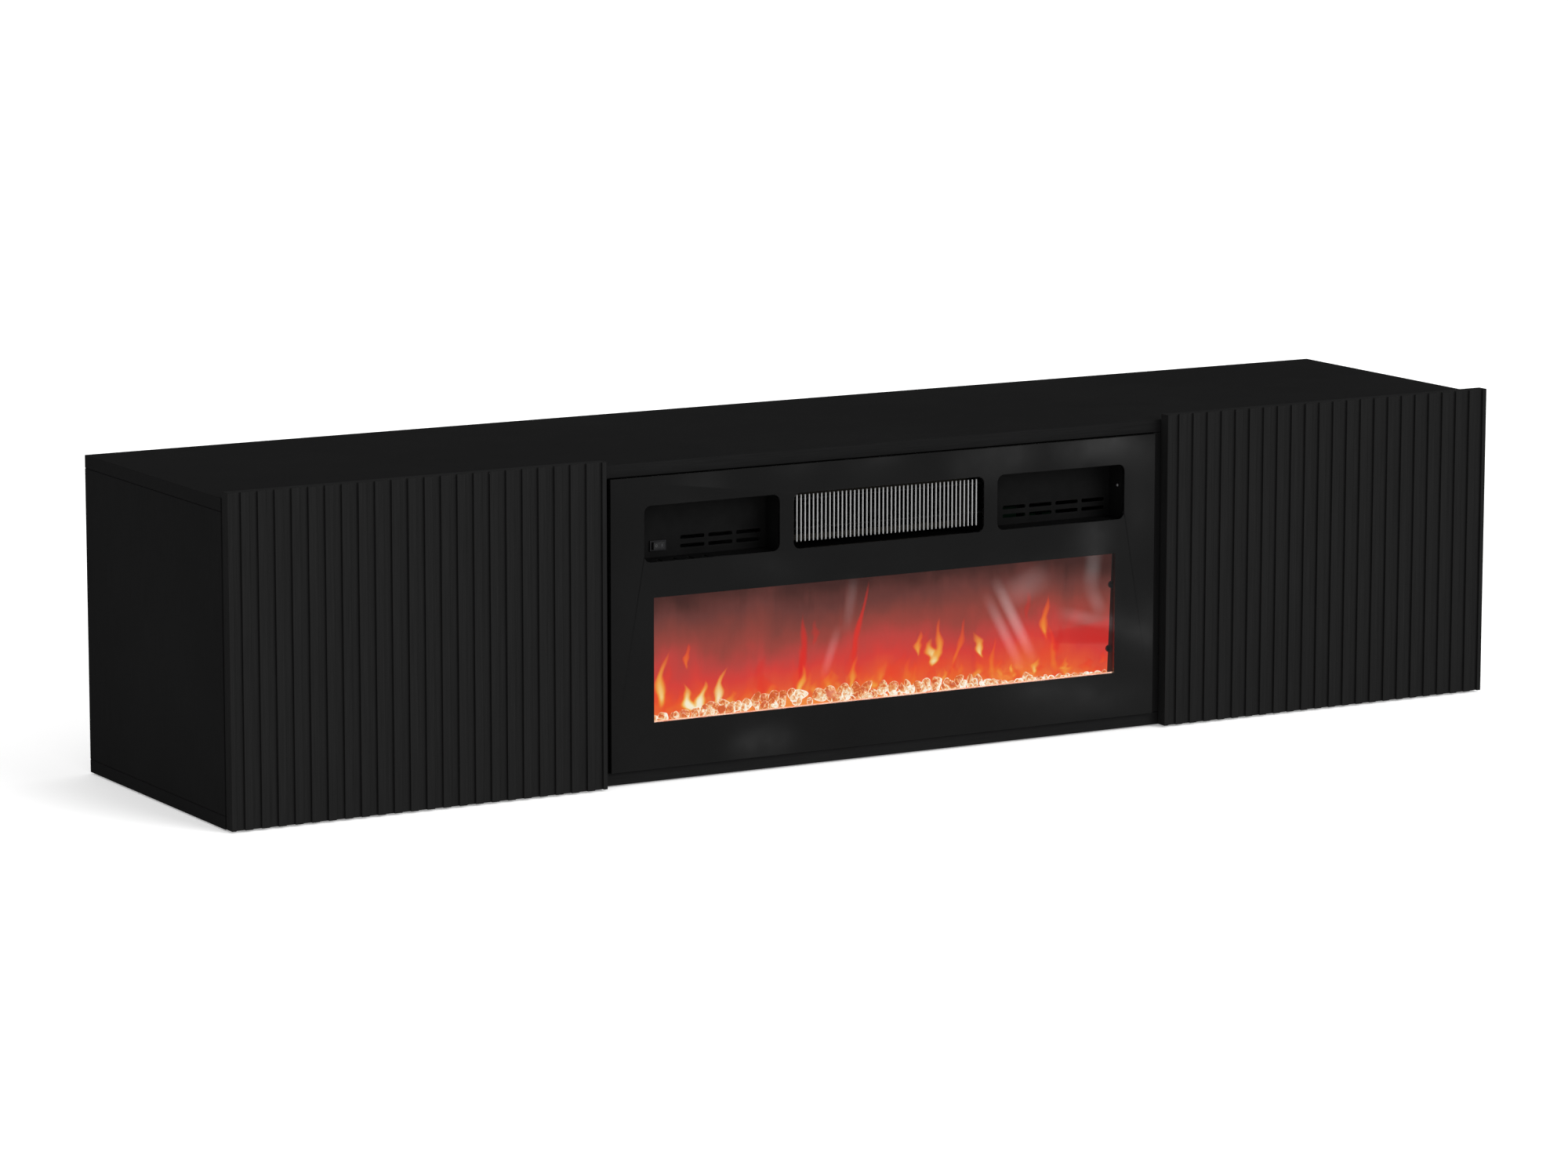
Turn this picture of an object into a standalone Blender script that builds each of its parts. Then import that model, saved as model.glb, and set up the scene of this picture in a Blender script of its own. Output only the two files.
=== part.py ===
"""Low television cabinet with slatted doors and an electric fireplace insert in its middle bay.

Metres, +Z up. The front faces -Y. The origin is the middle of the rectangle that the cabinet
stands on. Every object is one closed solid; pieces that touch keep a gap of GAP.
"""

import math
import random

import bmesh
import bpy
from mathutils import Matrix, Vector

GAP = 0.0003
THROUGH = 0.01  # how far a cutter reaches past the piece that it cuts
OVERLAP = 0.0004  # how far a joined shape reaches into its neighbour

# Cabinet
CABINET_WIDTH = 1.800
BODY_DEPTH = 0.391
BODY_HEIGHT = 0.392
BOARD = 0.016
BOARD_BEVEL = 0.0005
BAY_WIDTH = 0.784
BACK_PANEL = 0.003
BACK_RECESS = 0.018

# Doors
DOOR_WIDTH = 0.497
DOOR_HEIGHT = 0.399
DOOR_THICKNESS = 0.016
DOOR_CLEARANCE = 0.002
DOOR_BOTTOM = 0.0005
DOOR_SIDE_INSET = 0.001
GROOVES = 23
GROOVE_PITCH = 0.02155
GROOVE_WIDTH = 0.01105
GROOVE_DEPTH = 0.003

# Door hinges: distances from the door's outer front corner
HINGE_AXIS_INSET = 0.006
HINGE_HEIGHTS = (("lower", 0.085), ("upper", 0.315))
CUP_CENTRE = 0.0245
CUP_BORE_RADIUS = 0.0175
CUP_BORE_DEPTH = 0.0115
CUP_WALL = 0.0008
CUP_FLANGE_RADIUS = 0.019
BUMPER_RADIUS = 0.004
BUMPER_THICKNESS = 0.0014
BUMPER_FROM_EDGE = 0.025
ARM_HALF_HEIGHT = 0.006
WING_HALF_HEIGHT = 0.024
WING_DEPTH = 0.022

# Wall hangers: distances from the back panel's face and from the block's top
HANGER_WIDTH = 0.0157
HANGER_DEPTH = 0.052
HANGER_HEIGHT = 0.048
HANGER_SETBACK = 0.006
HANGER_DROP = 0.006
HOOK_LEVEL = 0.018
HOOK_THICKNESS = 0.012
HOOK_REACH = 0.012
HOOK_LIP = 0.003
HOOK_LIP_RISE = 0.014
NOTCH_WIDTH = 0.022
NOTCH_HEIGHT = 0.052

# Places that follow from the above
FRONT = (DOOR_THICKNESS + DOOR_CLEARANCE - BODY_DEPTH) / 2
BACK = FRONT + BODY_DEPTH
SIDE = CABINET_WIDTH / 2
BAY = BAY_WIDTH / 2
CEILING = BODY_HEIGHT - BOARD
DOOR_FRONT = FRONT - DOOR_CLEARANCE - DOOR_THICKNESS

# Fireplace insert
SHEET = 0.0012
GLASS_PROUD = 0.0065
GLASS_THICKNESS = 0.005
GLASS_MARGIN_SIDE = 0.001
GLASS_MARGIN_END = 0.0005
HOUSING_HALF = 0.372
HOUSING_BOTTOM = 0.024
HOUSING_TOP = 0.368
HOUSING_DEPTH = 0.150
HOUSING_FLANGE = 0.016
DECK_HEIGHT = 0.248

# Cut-outs in the glass, from the middle outwards
CUTOUT_BOTTOM = 0.2706
CUTOUT_TOP = 0.3397
CUTOUT_RADIUS = 0.009
OUTLET_HALF = 0.1367
CUTOUT_BRIDGE = 0.0198
RECESS_WIDTH = 0.1881
RECESS_DEPTH = 0.032
RECESS_MARGIN = 0.002
RECESS_FLOOR = CUTOUT_BOTTOM - SHEET
RECESS_ROOF = CUTOUT_TOP + SHEET

# Slots in the recess backs and in the left recess floor
SLOT_WIDTH = 0.0335
SLOT_HEIGHT = 0.0046
SLOT_PITCH = 0.0391
SLOT_ROWS = (0.2805, 0.2912)
FIRST_SLOT = -0.0457
SLOT_COLUMNS = 4
LOUVRES = 5
LOUVRE_PITCH = 0.0214
LOUVRE_WIDTH = 0.004
LOUVRE_START = 0.001
LOUVRE_LENGTH = 0.018
FIRST_LOUVRE = -0.3358
SLOT_RADIUS = 0.0015

# Screw in the right recess's outer wall
SCREW_HEIGHT = 0.311
SCREW_FROM_FRONT = 0.012
SCREW_RADIUS = 0.0014
SCREW_PLAY = 0.0004
SCREW_HEAD_RADIUS = 0.0026
SCREW_LENGTH = 0.007

# Rocker switch
SWITCH_X = -0.3060
SWITCH_Z = 0.2838
BEZEL_WIDTH = 0.022
BEZEL_HEIGHT = 0.0125
ROCKER_HALF = 0.0082
ROCKER_HEIGHT = 0.0088
ROCKER_TILT = math.radians(8)
BEZEL_THICKNESS = 0.002
BEZEL_LAP_X, BEZEL_LAP_Z = 0.0012, 0.001
SWITCH_DEPTH = 0.014
SWITCH_BACK = 0.003
ROCKER_SIDE_ROOM = 0.001
ROCKER_PIVOT_DEPTH = 0.0015

# Outlet grille
BARS = 45
BAR_PITCH = 0.00586
BAR_SIZE = 0.002
BAR_BOTTOM = 0.2782
BAR_TOP = 0.3367
RAIL_SIZE = 0.003
RAIL_HEIGHTS = (0.2945, 0.3310)
DUCT_HALF = 0.142

# Rear cover, its vents and its cord gland
VENT_WIDTH = 0.120
VENT_HEIGHT = 0.005
VENT_PITCH = 0.013
VENT_ROWS = 5
VENT_BOTTOM = 0.278
VENT_COLUMNS = (-0.200, 0.0, 0.200)
GLAND_X, GLAND_Z = 0.300, 0.070
GLAND_BORE, GLAND_NECK, GLAND_COLLAR = 0.0035, 0.0075, 0.0115

# Brackets between the housing and the partitions
BRACKET_THICKNESS = 0.002
BRACKET_BOTTOM, BRACKET_TOP = 0.150, 0.230
BRACKET_START, BRACKET_STEP, BRACKET_END = 0.080, 0.110, 0.142

# Blower and heater
FAN_Y = FRONT + 0.095
FAN_Z = 0.306
FAN_RADIUS = 0.026
FAN_HALF = 0.115
FAN_BLADES = 12
SHAFT_RADIUS = 0.0025
SCROLL_RADIUS = 0.031
SCROLL_HALF = 0.1225
BUSH_LENGTH = 0.008
MOTOR_LENGTH = 0.018
HEATER_Y = FRONT + 0.034
HEATER_RUNS = 14
HEATER_HALF_X, HEATER_HALF_Z, HEATER_HALF_Y = 0.134, 0.030, 0.004
HEATER_BAR = 0.006
RIBBON = 0.0008
RIBBON_HALF_Y = 0.003

# Flame chamber
LINER_HALF = 0.3353
LINER_BOTTOM = 0.058
LINER_DEPTH = 0.110
SCREEN_BOTTOM = 0.064
SCREEN_TOP = 0.244
SCREEN_BOTTOM_Y = FRONT + 0.0166
SCREEN_TOP_Y = FRONT + 0.0064
SCREEN_THICKNESS = 0.002
CLIP_RADIUS = 0.0045
CLIP_THICKNESS = 0.003
CLIP_HEIGHTS = (("lower", 0.1024), ("upper", 0.1853))
TRAY_TOP = 0.066
CRYSTAL_TOP = 0.096
SPINNER_Y = FRONT + 0.072
SPINNER_Z = 0.100
SPINNER_FLAGS = 14
SPINNER_ROD = 0.002
FLAG_PITCH = 0.046
FLAG_WIDTH, FLAG_HEIGHT, FLAG_THICKNESS = 0.030, 0.034, 0.0008
FLAG_TURN = math.radians(50)
LAMP_STRIP_HALF = 0.320
LAMP_STRIP_WIDTH = 0.012
LAMP_STRIP_THICKNESS = 0.0016
TRAY_THICKNESS = 0.004

# Circuit board: low and high corners in X and in Y from FRONT, and each part's corners and height
BOARD_LOW, BOARD_HIGH = (0.190, 0.060), (0.320, 0.130)
BOARD_LIFT = 0.006
BOARD_PARTS = (
    ((0.200, 0.070), (0.232, 0.096), 0.028),
    ((0.244, 0.072), (0.262, 0.090), 0.016),
    ((0.272, 0.072), (0.290, 0.090), 0.016),
    ((0.200, 0.106), (0.240, 0.120), 0.012),
    ((0.296, 0.100), (0.314, 0.124), 0.014),
)

random.seed(7)


def clear_scene():
    for obj in list(bpy.data.objects):
        bpy.data.objects.remove(obj, do_unlink=True)


def material(name, colour, roughness, metallic=0.0):
    found = bpy.data.materials.get(name)
    if found:
        return found
    made = bpy.data.materials.new(name)
    made.use_nodes = True
    shader = made.node_tree.nodes["Principled BSDF"]
    shader.inputs["Base Color"].default_value = (*colour, 1.0)
    shader.inputs["Roughness"].default_value = roughness
    shader.inputs["Metallic"].default_value = metallic
    made.diffuse_color = (*colour, 1.0)
    return made


def laminate():
    return material("black_laminate", (0.012, 0.012, 0.013), 0.55)


def slatted_board():
    return material("black_slatted_board", (0.016, 0.016, 0.017), 0.5)


def steel():
    return material("bright_steel", (0.62, 0.62, 0.63), 0.3, 1.0)


def galvanised():
    return material("galvanised_sheet", (0.45, 0.46, 0.47), 0.45, 0.9)


def black_sheet():
    return material("black_painted_sheet", (0.012, 0.012, 0.012), 0.5, 0.2)


def black_plastic():
    return material("black_plastic", (0.015, 0.015, 0.016), 0.4)


def add_object(bm, name, finish, pivot=(0, 0, 0)):
    """Makes an object from a mesh in world coordinates, with its origin at the pivot."""
    bmesh.ops.translate(bm, verts=bm.verts, vec=-Vector(pivot))
    bmesh.ops.recalc_face_normals(bm, faces=bm.faces)
    mesh = bpy.data.meshes.new(name)
    bm.to_mesh(mesh)
    bm.free()
    mesh.materials.append(finish)
    obj = bpy.data.objects.new(name, mesh)
    obj.location = pivot
    bpy.context.scene.collection.objects.link(obj)
    return obj


def middle(low, high):
    return tuple((a + b) / 2 for a, b in zip(low, high))


def box(name, low, high, finish, bevel=0.0, pivot=None):
    bm = bmesh.new()
    size = [b - a for a, b in zip(low, high)]
    centre = middle(low, high)
    bmesh.ops.create_cube(bm, size=1.0, matrix=Matrix.Diagonal((*size, 1.0)))
    bmesh.ops.translate(bm, verts=bm.verts, vec=centre)
    obj = add_object(bm, name, finish, pivot or centre)
    if bevel:
        modifier = obj.modifiers.new("edges", "BEVEL")
        modifier.width = bevel
        modifier.segments = 1
    return obj


def prism(name, outline, axis, low, high, finish, pivot=(0, 0, 0)):
    """Extrudes a closed outline along an axis; its points hold the other two coordinates in order."""
    bm = bmesh.new()
    place = {
        "X": lambda a, b, t: (t, a, b),
        "Y": lambda a, b, t: (a, t, b),
        "Z": lambda a, b, t: (a, b, t),
    }
    corners = [bm.verts.new(place[axis](a, b, low)) for a, b in outline]
    face = bm.faces.new(corners)
    extruded = bmesh.ops.extrude_face_region(bm, geom=[face])
    moved = [item for item in extruded["geom"] if isinstance(item, bmesh.types.BMVert)]
    bmesh.ops.translate(bm, verts=moved, vec=Vector(place[axis](0, 0, high - low)))
    return add_object(bm, name, finish, pivot)


def arc(centre, radius, start, end, steps):
    """Points on a circle from one angle to another, in degrees."""
    angles = [math.radians(start + (end - start) * i / steps) for i in range(steps + 1)]
    return [(centre[0] + radius * math.cos(a), centre[1] + radius * math.sin(a)) for a in angles]


def rounded_rectangle(low, high, radius, steps=6):
    corners = (
        ((high[0] - radius, high[1] - radius), 0),
        ((low[0] + radius, high[1] - radius), 90),
        ((low[0] + radius, low[1] + radius), 180),
        ((high[0] - radius, low[1] + radius), 270),
    )
    points = []
    for centre, start in corners:
        points += arc(centre, radius, start, start + 90, steps)
    return points


def circle(centre, radius, steps):
    return arc(centre, radius, 0, 360 - 360 / steps, steps - 1)


def smooth(obj):
    obj.data.shade_smooth()
    obj.data.set_sharp_from_angle(angle=math.radians(35))
    return obj


def combine(target, tool, operation):
    """Cuts the target with the tool, or joins the tool to it, and removes the tool."""
    modifier = target.modifiers.new("shape", "BOOLEAN")
    modifier.operation = operation
    modifier.solver = "EXACT"
    modifier.object = tool
    bpy.context.view_layer.update()
    graph = bpy.context.evaluated_depsgraph_get()
    result = bpy.data.meshes.new_from_object(target.evaluated_get(graph))
    target.modifiers.clear()
    target.data = result
    bpy.data.objects.remove(tool, do_unlink=True)
    return target


def cut(target, tool):
    return combine(target, tool, "DIFFERENCE")


def join(target, tool):
    return combine(target, tool, "UNION")


def cut_box(target, low, high):
    return cut(target, box("cutter", low, high, target.data.materials[0]))


def join_box(target, low, high):
    return join(target, box("tool", low, high, target.data.materials[0]))


def lathe(name, profile, start, finish, pivot=None, steps=24, axis="X"):
    """Turns a closed profile of (distance, radius) points about an axis through the start."""
    bm = bmesh.new()
    rings = []
    turn = {"X": lambda t, a, b: (t, a, b), "Y": lambda t, a, b: (a, t, b)}[axis]
    for along, radius in profile:
        ring = []
        for i in range(steps):
            angle = 2 * math.pi * i / steps
            offset = turn(along, radius * math.cos(angle), radius * math.sin(angle))
            ring.append(bm.verts.new(Vector(start) + Vector(offset)))
        rings.append(ring)
    for ring, following in zip(rings, rings[1:] + rings[:1]):
        for i in range(steps):
            j = (i + 1) % steps
            bm.faces.new((ring[i], ring[j], following[j], following[i]))
    return smooth(add_object(bm, name, finish, pivot or start))


def rod(name, start, radius, length, finish, pivot=None, steps=16, axis="X"):
    """A round bar with flat ends, from its start along an axis."""
    plane = {"X": (start[1], start[2]), "Y": (start[0], start[2])}[axis]
    low = {"X": start[0], "Y": start[1]}[axis]
    made = prism(name, circle(plane, radius, steps), axis, low, low + length, finish, pivot or start)
    return smooth(made)


def ride(child, parent):
    """Parents a piece and keeps it in place; neither is turned."""
    child.parent = parent
    child.location = child.location - parent.location


def make_cabinet():
    finish = laminate()
    box("bottom_panel", (-SIDE, FRONT, 0), (SIDE, BACK, BOARD), finish, BOARD_BEVEL)
    box("top_panel", (-SIDE, FRONT, CEILING), (SIDE, BACK, BODY_HEIGHT), finish, BOARD_BEVEL)
    low, high = BOARD + GAP, CEILING - GAP
    for side, sign in (("left", -1), ("right", 1)):
        outer = sorted((sign * SIDE, sign * (SIDE - BOARD)))
        inner = sorted((sign * BAY, sign * (BAY + BOARD)))
        for name, span in (("side_panel", outer), ("partition", inner)):
            box(f"{side}_{name}", (span[0], FRONT, low), (span[1], BACK, high), finish, BOARD_BEVEL)
        make_back_panel(side, sign, low, high)
        make_wall_hanger(side, sign, high)


def make_back_panel(side, sign, low, high):
    """A thin panel set forward of the cabinet's back, notched at a corner for the hanger's hook."""
    back = BACK - BACK_RECESS
    span = sorted((sign * (BAY + BOARD + GAP), sign * (SIDE - BOARD - GAP)))
    panel = box(
        f"{side}_back_panel",
        (span[0], back - BACK_PANEL, low + GAP),
        (span[1], back, high - GAP),
        material("hardboard", (0.014, 0.014, 0.015), 0.6),
    )
    notch = sorted((sign * (SIDE - BOARD - NOTCH_WIDTH), sign * SIDE))
    low_corner = (notch[0], back - THROUGH, high - NOTCH_HEIGHT)
    cut_box(panel, low_corner, (notch[1], back + THROUGH, high + THROUGH))


def make_wall_hanger(side, sign, ceiling):
    """The block that screws to the side panel, with a hook that reaches through the back panel's notch."""
    back = BACK - BACK_RECESS
    top = ceiling - HANGER_DROP
    rear = back - HANGER_SETBACK
    hook_end = back + HOOK_REACH
    hook_bottom = top - HOOK_LEVEL - HOOK_THICKNESS
    outline = [
        (back - HANGER_DEPTH, top - HANGER_HEIGHT),
        (back - HANGER_DEPTH, top),
        (rear, top),
        (rear, top - HOOK_LEVEL),
        (hook_end, top - HOOK_LEVEL),
        (hook_end, top - HOOK_LEVEL + HOOK_LIP_RISE),
        (hook_end + HOOK_LIP, top - HOOK_LEVEL + HOOK_LIP_RISE),
        (hook_end + HOOK_LIP, hook_bottom),
        (rear, hook_bottom),
        (rear, top - HANGER_HEIGHT),
    ]
    outer = SIDE - BOARD - GAP
    low, high = sorted((sign * outer, sign * (outer - HANGER_WIDTH)))
    prism(f"{side}_wall_hanger", outline, "X", low, high, galvanised(), (low, back, top))


def door_outline():
    """The door's plan from its outer front corner, ribs to the front, in (across, back) metres."""
    end_rib = (DOOR_WIDTH - (GROOVES - 1) * GROOVE_PITCH - GROOVE_WIDTH) / 2
    points = [(0.0, 0.0), (0.0, DOOR_THICKNESS), (DOOR_WIDTH, DOOR_THICKNESS), (DOOR_WIDTH, 0.0)]
    for i in reversed(range(GROOVES)):
        left = end_rib + i * GROOVE_PITCH
        right = left + GROOVE_WIDTH
        points += [(right, 0.0), (right, GROOVE_DEPTH), (left, GROOVE_DEPTH), (left, 0.0)]
    return points


def make_door(side, sign):
    outer = sign * (SIDE - DOOR_SIDE_INSET)

    def across(distance):
        return outer - sign * distance

    axis = (across(HINGE_AXIS_INSET), DOOR_FRONT + HINGE_AXIS_INSET, DOOR_BOTTOM)
    outline = [(across(x), DOOR_FRONT + y) for x, y in door_outline()]
    top = DOOR_BOTTOM + DOOR_HEIGHT
    door = prism(f"{side}_door", outline, "Z", DOOR_BOTTOM, top, slatted_board(), axis)
    back = DOOR_FRONT + DOOR_THICKNESS
    for place, height in HINGE_HEIGHTS:
        centre = (across(CUP_CENTRE), back - CUP_BORE_DEPTH, height)
        bore = rod("cutter", centre, CUP_BORE_RADIUS, DOOR_THICKNESS, slatted_board(), steps=28, axis="Y")
        cut(door, bore)
        ride(make_hinge_cup(f"{side}_hinge_cup_{place}", centre, back), door)
        make_hinge_arm(f"{side}_hinge_arm_{place}", across, height)
    for place, height in (("lower", BOARD / 2), ("upper", CEILING + BOARD / 2)):
        centre = (across(DOOR_WIDTH - BUMPER_FROM_EDGE), back + GAP, height)
        rubber = material("clear_rubber", (0.3, 0.3, 0.3), 0.6)
        ride(rod(f"{side}_bumper_{place}", centre, BUMPER_RADIUS, BUMPER_THICKNESS, rubber, axis="Y"), door)


def make_hinge_cup(name, bore_bottom, back):
    """A drawn steel cup in the door's bore, with a flange on the door's back."""
    radius = CUP_BORE_RADIUS - GAP
    rivet_hole = 0.0005
    mouth = back + GAP + CUP_WALL - bore_bottom[1]
    profile = [
        (GAP, rivet_hole),
        (GAP, radius),
        (mouth - CUP_WALL, radius),
        (mouth - CUP_WALL, CUP_FLANGE_RADIUS),
        (mouth, CUP_FLANGE_RADIUS),
        (mouth, radius - CUP_WALL),
        (GAP + CUP_WALL, radius - CUP_WALL),
        (GAP + CUP_WALL, rivet_hole),
    ]
    return lathe(name, profile, bore_bottom, steel(), steps=28, axis="Y")


def make_hinge_arm(name, across, height):
    """The arm on the side panel. Its nose reaches into the cup and clears it as the door turns."""
    face = BOARD - DOOR_SIDE_INSET + GAP
    plate = face + 0.002
    outline = [
        (face, 0.034),
        (face, 0.078),
        (plate, 0.078),
        (plate, 0.070),
        (0.0255, 0.066),
        (0.0273, 0.060),
        (0.0273, 0.0059),
        (0.0178, 0.0059),
        (0.0178, 0.0071),
        (0.0245, 0.0071),
        (0.0245, 0.030),
        (0.0200, 0.036),
        (plate, 0.036),
        (plate, 0.034),
    ]
    points = [(across(x), DOOR_FRONT + y) for x, y in outline]
    pivot = (across(face), FRONT, height)
    arm = prism(name, points, "Z", height - ARM_HALF_HEIGHT, height + ARM_HALF_HEIGHT, steel(), pivot)
    span = sorted((across(face), across(plate)))
    wing_start = DOOR_FRONT + 0.044
    low = (span[0], wing_start, height - WING_HALF_HEIGHT)
    return join_box(arm, low, (span[1], wing_start + WING_DEPTH, height + WING_HALF_HEIGHT))


def recess_span(sign):
    """The two edges of a side cut-out, lowest first."""
    near = OUTLET_HALF + CUTOUT_BRIDGE
    return sorted((sign * near, sign * (near + RECESS_WIDTH)))


def make_glass():
    half = BAY - GLASS_MARGIN_SIDE
    front = FRONT - GLASS_PROUD
    back = front + GLASS_THICKNESS
    glass = box(
        "front_glass",
        (-half, front, BOARD + GLASS_MARGIN_END),
        (half, back, CEILING - GLASS_MARGIN_END),
        material("black_glass", (0.006, 0.006, 0.007), 0.05),
    )
    spans = (recess_span(-1), (-OUTLET_HALF, OUTLET_HALF), recess_span(1))
    for low, high in spans:
        hole = rounded_rectangle((low, CUTOUT_BOTTOM), (high, CUTOUT_TOP), CUTOUT_RADIUS)
        cut(glass, prism("cutter", hole, "Y", front - THROUGH, back + THROUGH, glass.data.materials[0]))


def make_recess_box(side, sign):
    """The open-fronted tray behind a side cut-out, with its slots."""
    span = recess_span(sign)
    inner = (span[0] - RECESS_MARGIN, span[1] + RECESS_MARGIN)
    front, back = FRONT - SHEET, FRONT + RECESS_DEPTH
    tray = box(
        f"{side}_recess_box",
        (inner[0] - SHEET, front, RECESS_FLOOR - SHEET),
        (inner[1] + SHEET, back + SHEET, RECESS_ROOF + SHEET),
        black_sheet(),
    )
    cut_box(tray, (inner[0], front - THROUGH, RECESS_FLOOR), (inner[1], back, RECESS_ROOF))
    centre = (span[0] + span[1]) / 2
    columns = range(1, SLOT_COLUMNS) if side == "left" else range(SLOT_COLUMNS)
    for column in columns:
        slot_x = centre + FIRST_SLOT + column * SLOT_PITCH
        for row in SLOT_ROWS:
            low = (slot_x - SLOT_WIDTH / 2, row - SLOT_HEIGHT / 2)
            high = (slot_x + SLOT_WIDTH / 2, row + SLOT_HEIGHT / 2)
            hole = rounded_rectangle(low, high, SLOT_RADIUS, 2)
            cut(tray, prism("cutter", hole, "Y", back - THROUGH, back + THROUGH, black_sheet()))
    return tray


def make_recesses():
    left = make_recess_box("left", -1)
    for i in range(LOUVRES):
        x = FIRST_LOUVRE + i * LOUVRE_PITCH
        low = (x - LOUVRE_WIDTH / 2, FRONT + LOUVRE_START, RECESS_FLOOR - THROUGH)
        high = (x + LOUVRE_WIDTH / 2, FRONT + LOUVRE_LENGTH, RECESS_FLOOR + THROUGH)
        cut_box(left, low, high)
    make_switch(left)
    make_recess_screw(make_recess_box("right", 1))


def make_recess_screw(tray):
    """A pan-head screw through the right recess's outer wall."""
    wall = recess_span(1)[1] + RECESS_MARGIN
    place = (wall - GAP, FRONT + SCREW_FROM_FRONT, SCREW_HEIGHT)
    start = (wall - THROUGH, place[1], place[2])
    cut(tray, rod("cutter", start, SCREW_RADIUS + SCREW_PLAY, 2 * THROUGH, black_sheet()))
    axis_hole = 0.0002
    profile = [
        (-0.0018, axis_hole),
        (-0.0018, SCREW_RADIUS),
        (-0.0010, SCREW_HEAD_RADIUS - 0.0002),
        (0.0, SCREW_HEAD_RADIUS),
        (0.0, SCREW_RADIUS),
        (SCREW_LENGTH, SCREW_RADIUS),
        (SCREW_LENGTH, axis_hole),
    ]
    lathe("recess_screw", profile, place, steel(), steps=20)


def make_switch(tray):
    """A rocker switch in the left recess's back: a hollow body with a bezel, and the rocker in it."""
    back = FRONT + RECESS_DEPTH
    half_x, half_z = BEZEL_WIDTH / 2, BEZEL_HEIGHT / 2
    hole_x, hole_z = half_x - BEZEL_LAP_X, half_z - BEZEL_LAP_Z
    cut_box(
        tray,
        (SWITCH_X - hole_x, back - THROUGH, SWITCH_Z - hole_z),
        (SWITCH_X + hole_x, back + THROUGH, SWITCH_Z + hole_z),
    )
    body_x, body_z = hole_x - GAP, hole_z - GAP
    body = box(
        "switch_body",
        (SWITCH_X - body_x, back - BEZEL_THICKNESS / 2, SWITCH_Z - body_z),
        (SWITCH_X + body_x, back + SWITCH_DEPTH, SWITCH_Z + body_z),
        black_plastic(),
    )
    join_box(
        body,
        (SWITCH_X - half_x, back - BEZEL_THICKNESS, SWITCH_Z - half_z),
        (SWITCH_X + half_x, back - GAP, SWITCH_Z + half_z),
    )
    well_x, well_z = ROCKER_HALF + ROCKER_SIDE_ROOM, ROCKER_HEIGHT / 2 + GAP
    cut_box(
        body,
        (SWITCH_X - well_x, back - THROUGH, SWITCH_Z - well_z),
        (SWITCH_X + well_x, back + SWITCH_DEPTH - SWITCH_BACK, SWITCH_Z + well_z),
    )
    crown, shoulder, waist, foot = -0.0040, -0.0052, 0.0025, 0.0050
    outline = [(-ROCKER_HALF, shoulder), (0.0, crown), (ROCKER_HALF, shoulder)]
    waist_half = ROCKER_HALF - 0.0006
    outline += [(waist_half, waist), (0.0, foot), (-waist_half, waist)]
    grey = material("switch_grey", (0.06, 0.06, 0.062), 0.35)
    rocker = prism("power_rocker", outline, "Z", -ROCKER_HEIGHT / 2, ROCKER_HEIGHT / 2, grey)
    rocker.location = (SWITCH_X, back + ROCKER_PIVOT_DEPTH, SWITCH_Z)
    rocker.rotation_euler.z = ROCKER_TILT


def make_grille():
    """Upright bars behind the middle cut-out, on two rails that reach the duct's sides."""
    finish = steel()
    reach = DUCT_HALF - GAP
    rails = [
        box(
            "outlet_grille" if i == 0 else "tool",
            (-reach, FRONT + BAR_SIZE / 2 - OVERLAP, height - RAIL_SIZE / 2),
            (reach, FRONT + BAR_SIZE / 2 + RAIL_SIZE, height + RAIL_SIZE / 2),
            finish,
        )
        for i, height in enumerate(RAIL_HEIGHTS)
    ]
    bm = bmesh.new()
    for i in range(BARS):
        x = (i - (BARS - 1) / 2) * BAR_PITCH
        size = Matrix.Diagonal((BAR_SIZE, BAR_SIZE, BAR_TOP - BAR_BOTTOM, 1.0))
        centre = Matrix.Translation((x, FRONT, (BAR_TOP + BAR_BOTTOM) / 2))
        bmesh.ops.create_cube(bm, size=1.0, matrix=centre @ size)
    bars = add_object(bm, "tool_bars", finish)
    grille = join(rails[0], bars)
    join(grille, rails[1])


def make_housing():
    """Four folded sheets, a rear cover and a deck; the front folds carry the glass."""
    finish = black_sheet()
    fold_overlap, deck_start = 0.0008, 0.001
    front, back = FRONT - SHEET, FRONT + HOUSING_DEPTH
    for side, sign in (("left", -1), ("right", 1)):
        outline = [
            (sign * HOUSING_HALF, front),
            (sign * HOUSING_HALF, back),
            (sign * (HOUSING_HALF - SHEET), back),
            (sign * (HOUSING_HALF - SHEET), front + SHEET),
            (sign * (HOUSING_HALF - HOUSING_FLANGE), front + SHEET),
            (sign * (HOUSING_HALF - HOUSING_FLANGE), front),
        ]
        pivot = (sign * HOUSING_HALF, FRONT, HOUSING_BOTTOM)
        prism(f"housing_{side}_side", outline, "Z", HOUSING_BOTTOM, HOUSING_TOP, finish, pivot)
    half = HOUSING_HALF - SHEET - GAP
    flange_half = HOUSING_HALF - HOUSING_FLANGE - GAP
    for name, level, sign in (("housing_floor", HOUSING_BOTTOM, 1), ("housing_top", HOUSING_TOP, -1)):
        low, high = sorted((level, level + sign * SHEET))
        plate = box(name, (-half, front + SHEET + GAP, low), (half, back, high), finish)
        low, high = sorted((level, level + sign * HOUSING_FLANGE))
        join_box(plate, (-flange_half, front, low), (flange_half, front + SHEET + fold_overlap, high))
    box("mid_deck", (-half, FRONT + deck_start, DECK_HEIGHT), (half, back, DECK_HEIGHT + SHEET), finish)
    make_rear_cover(back + GAP)


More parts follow.
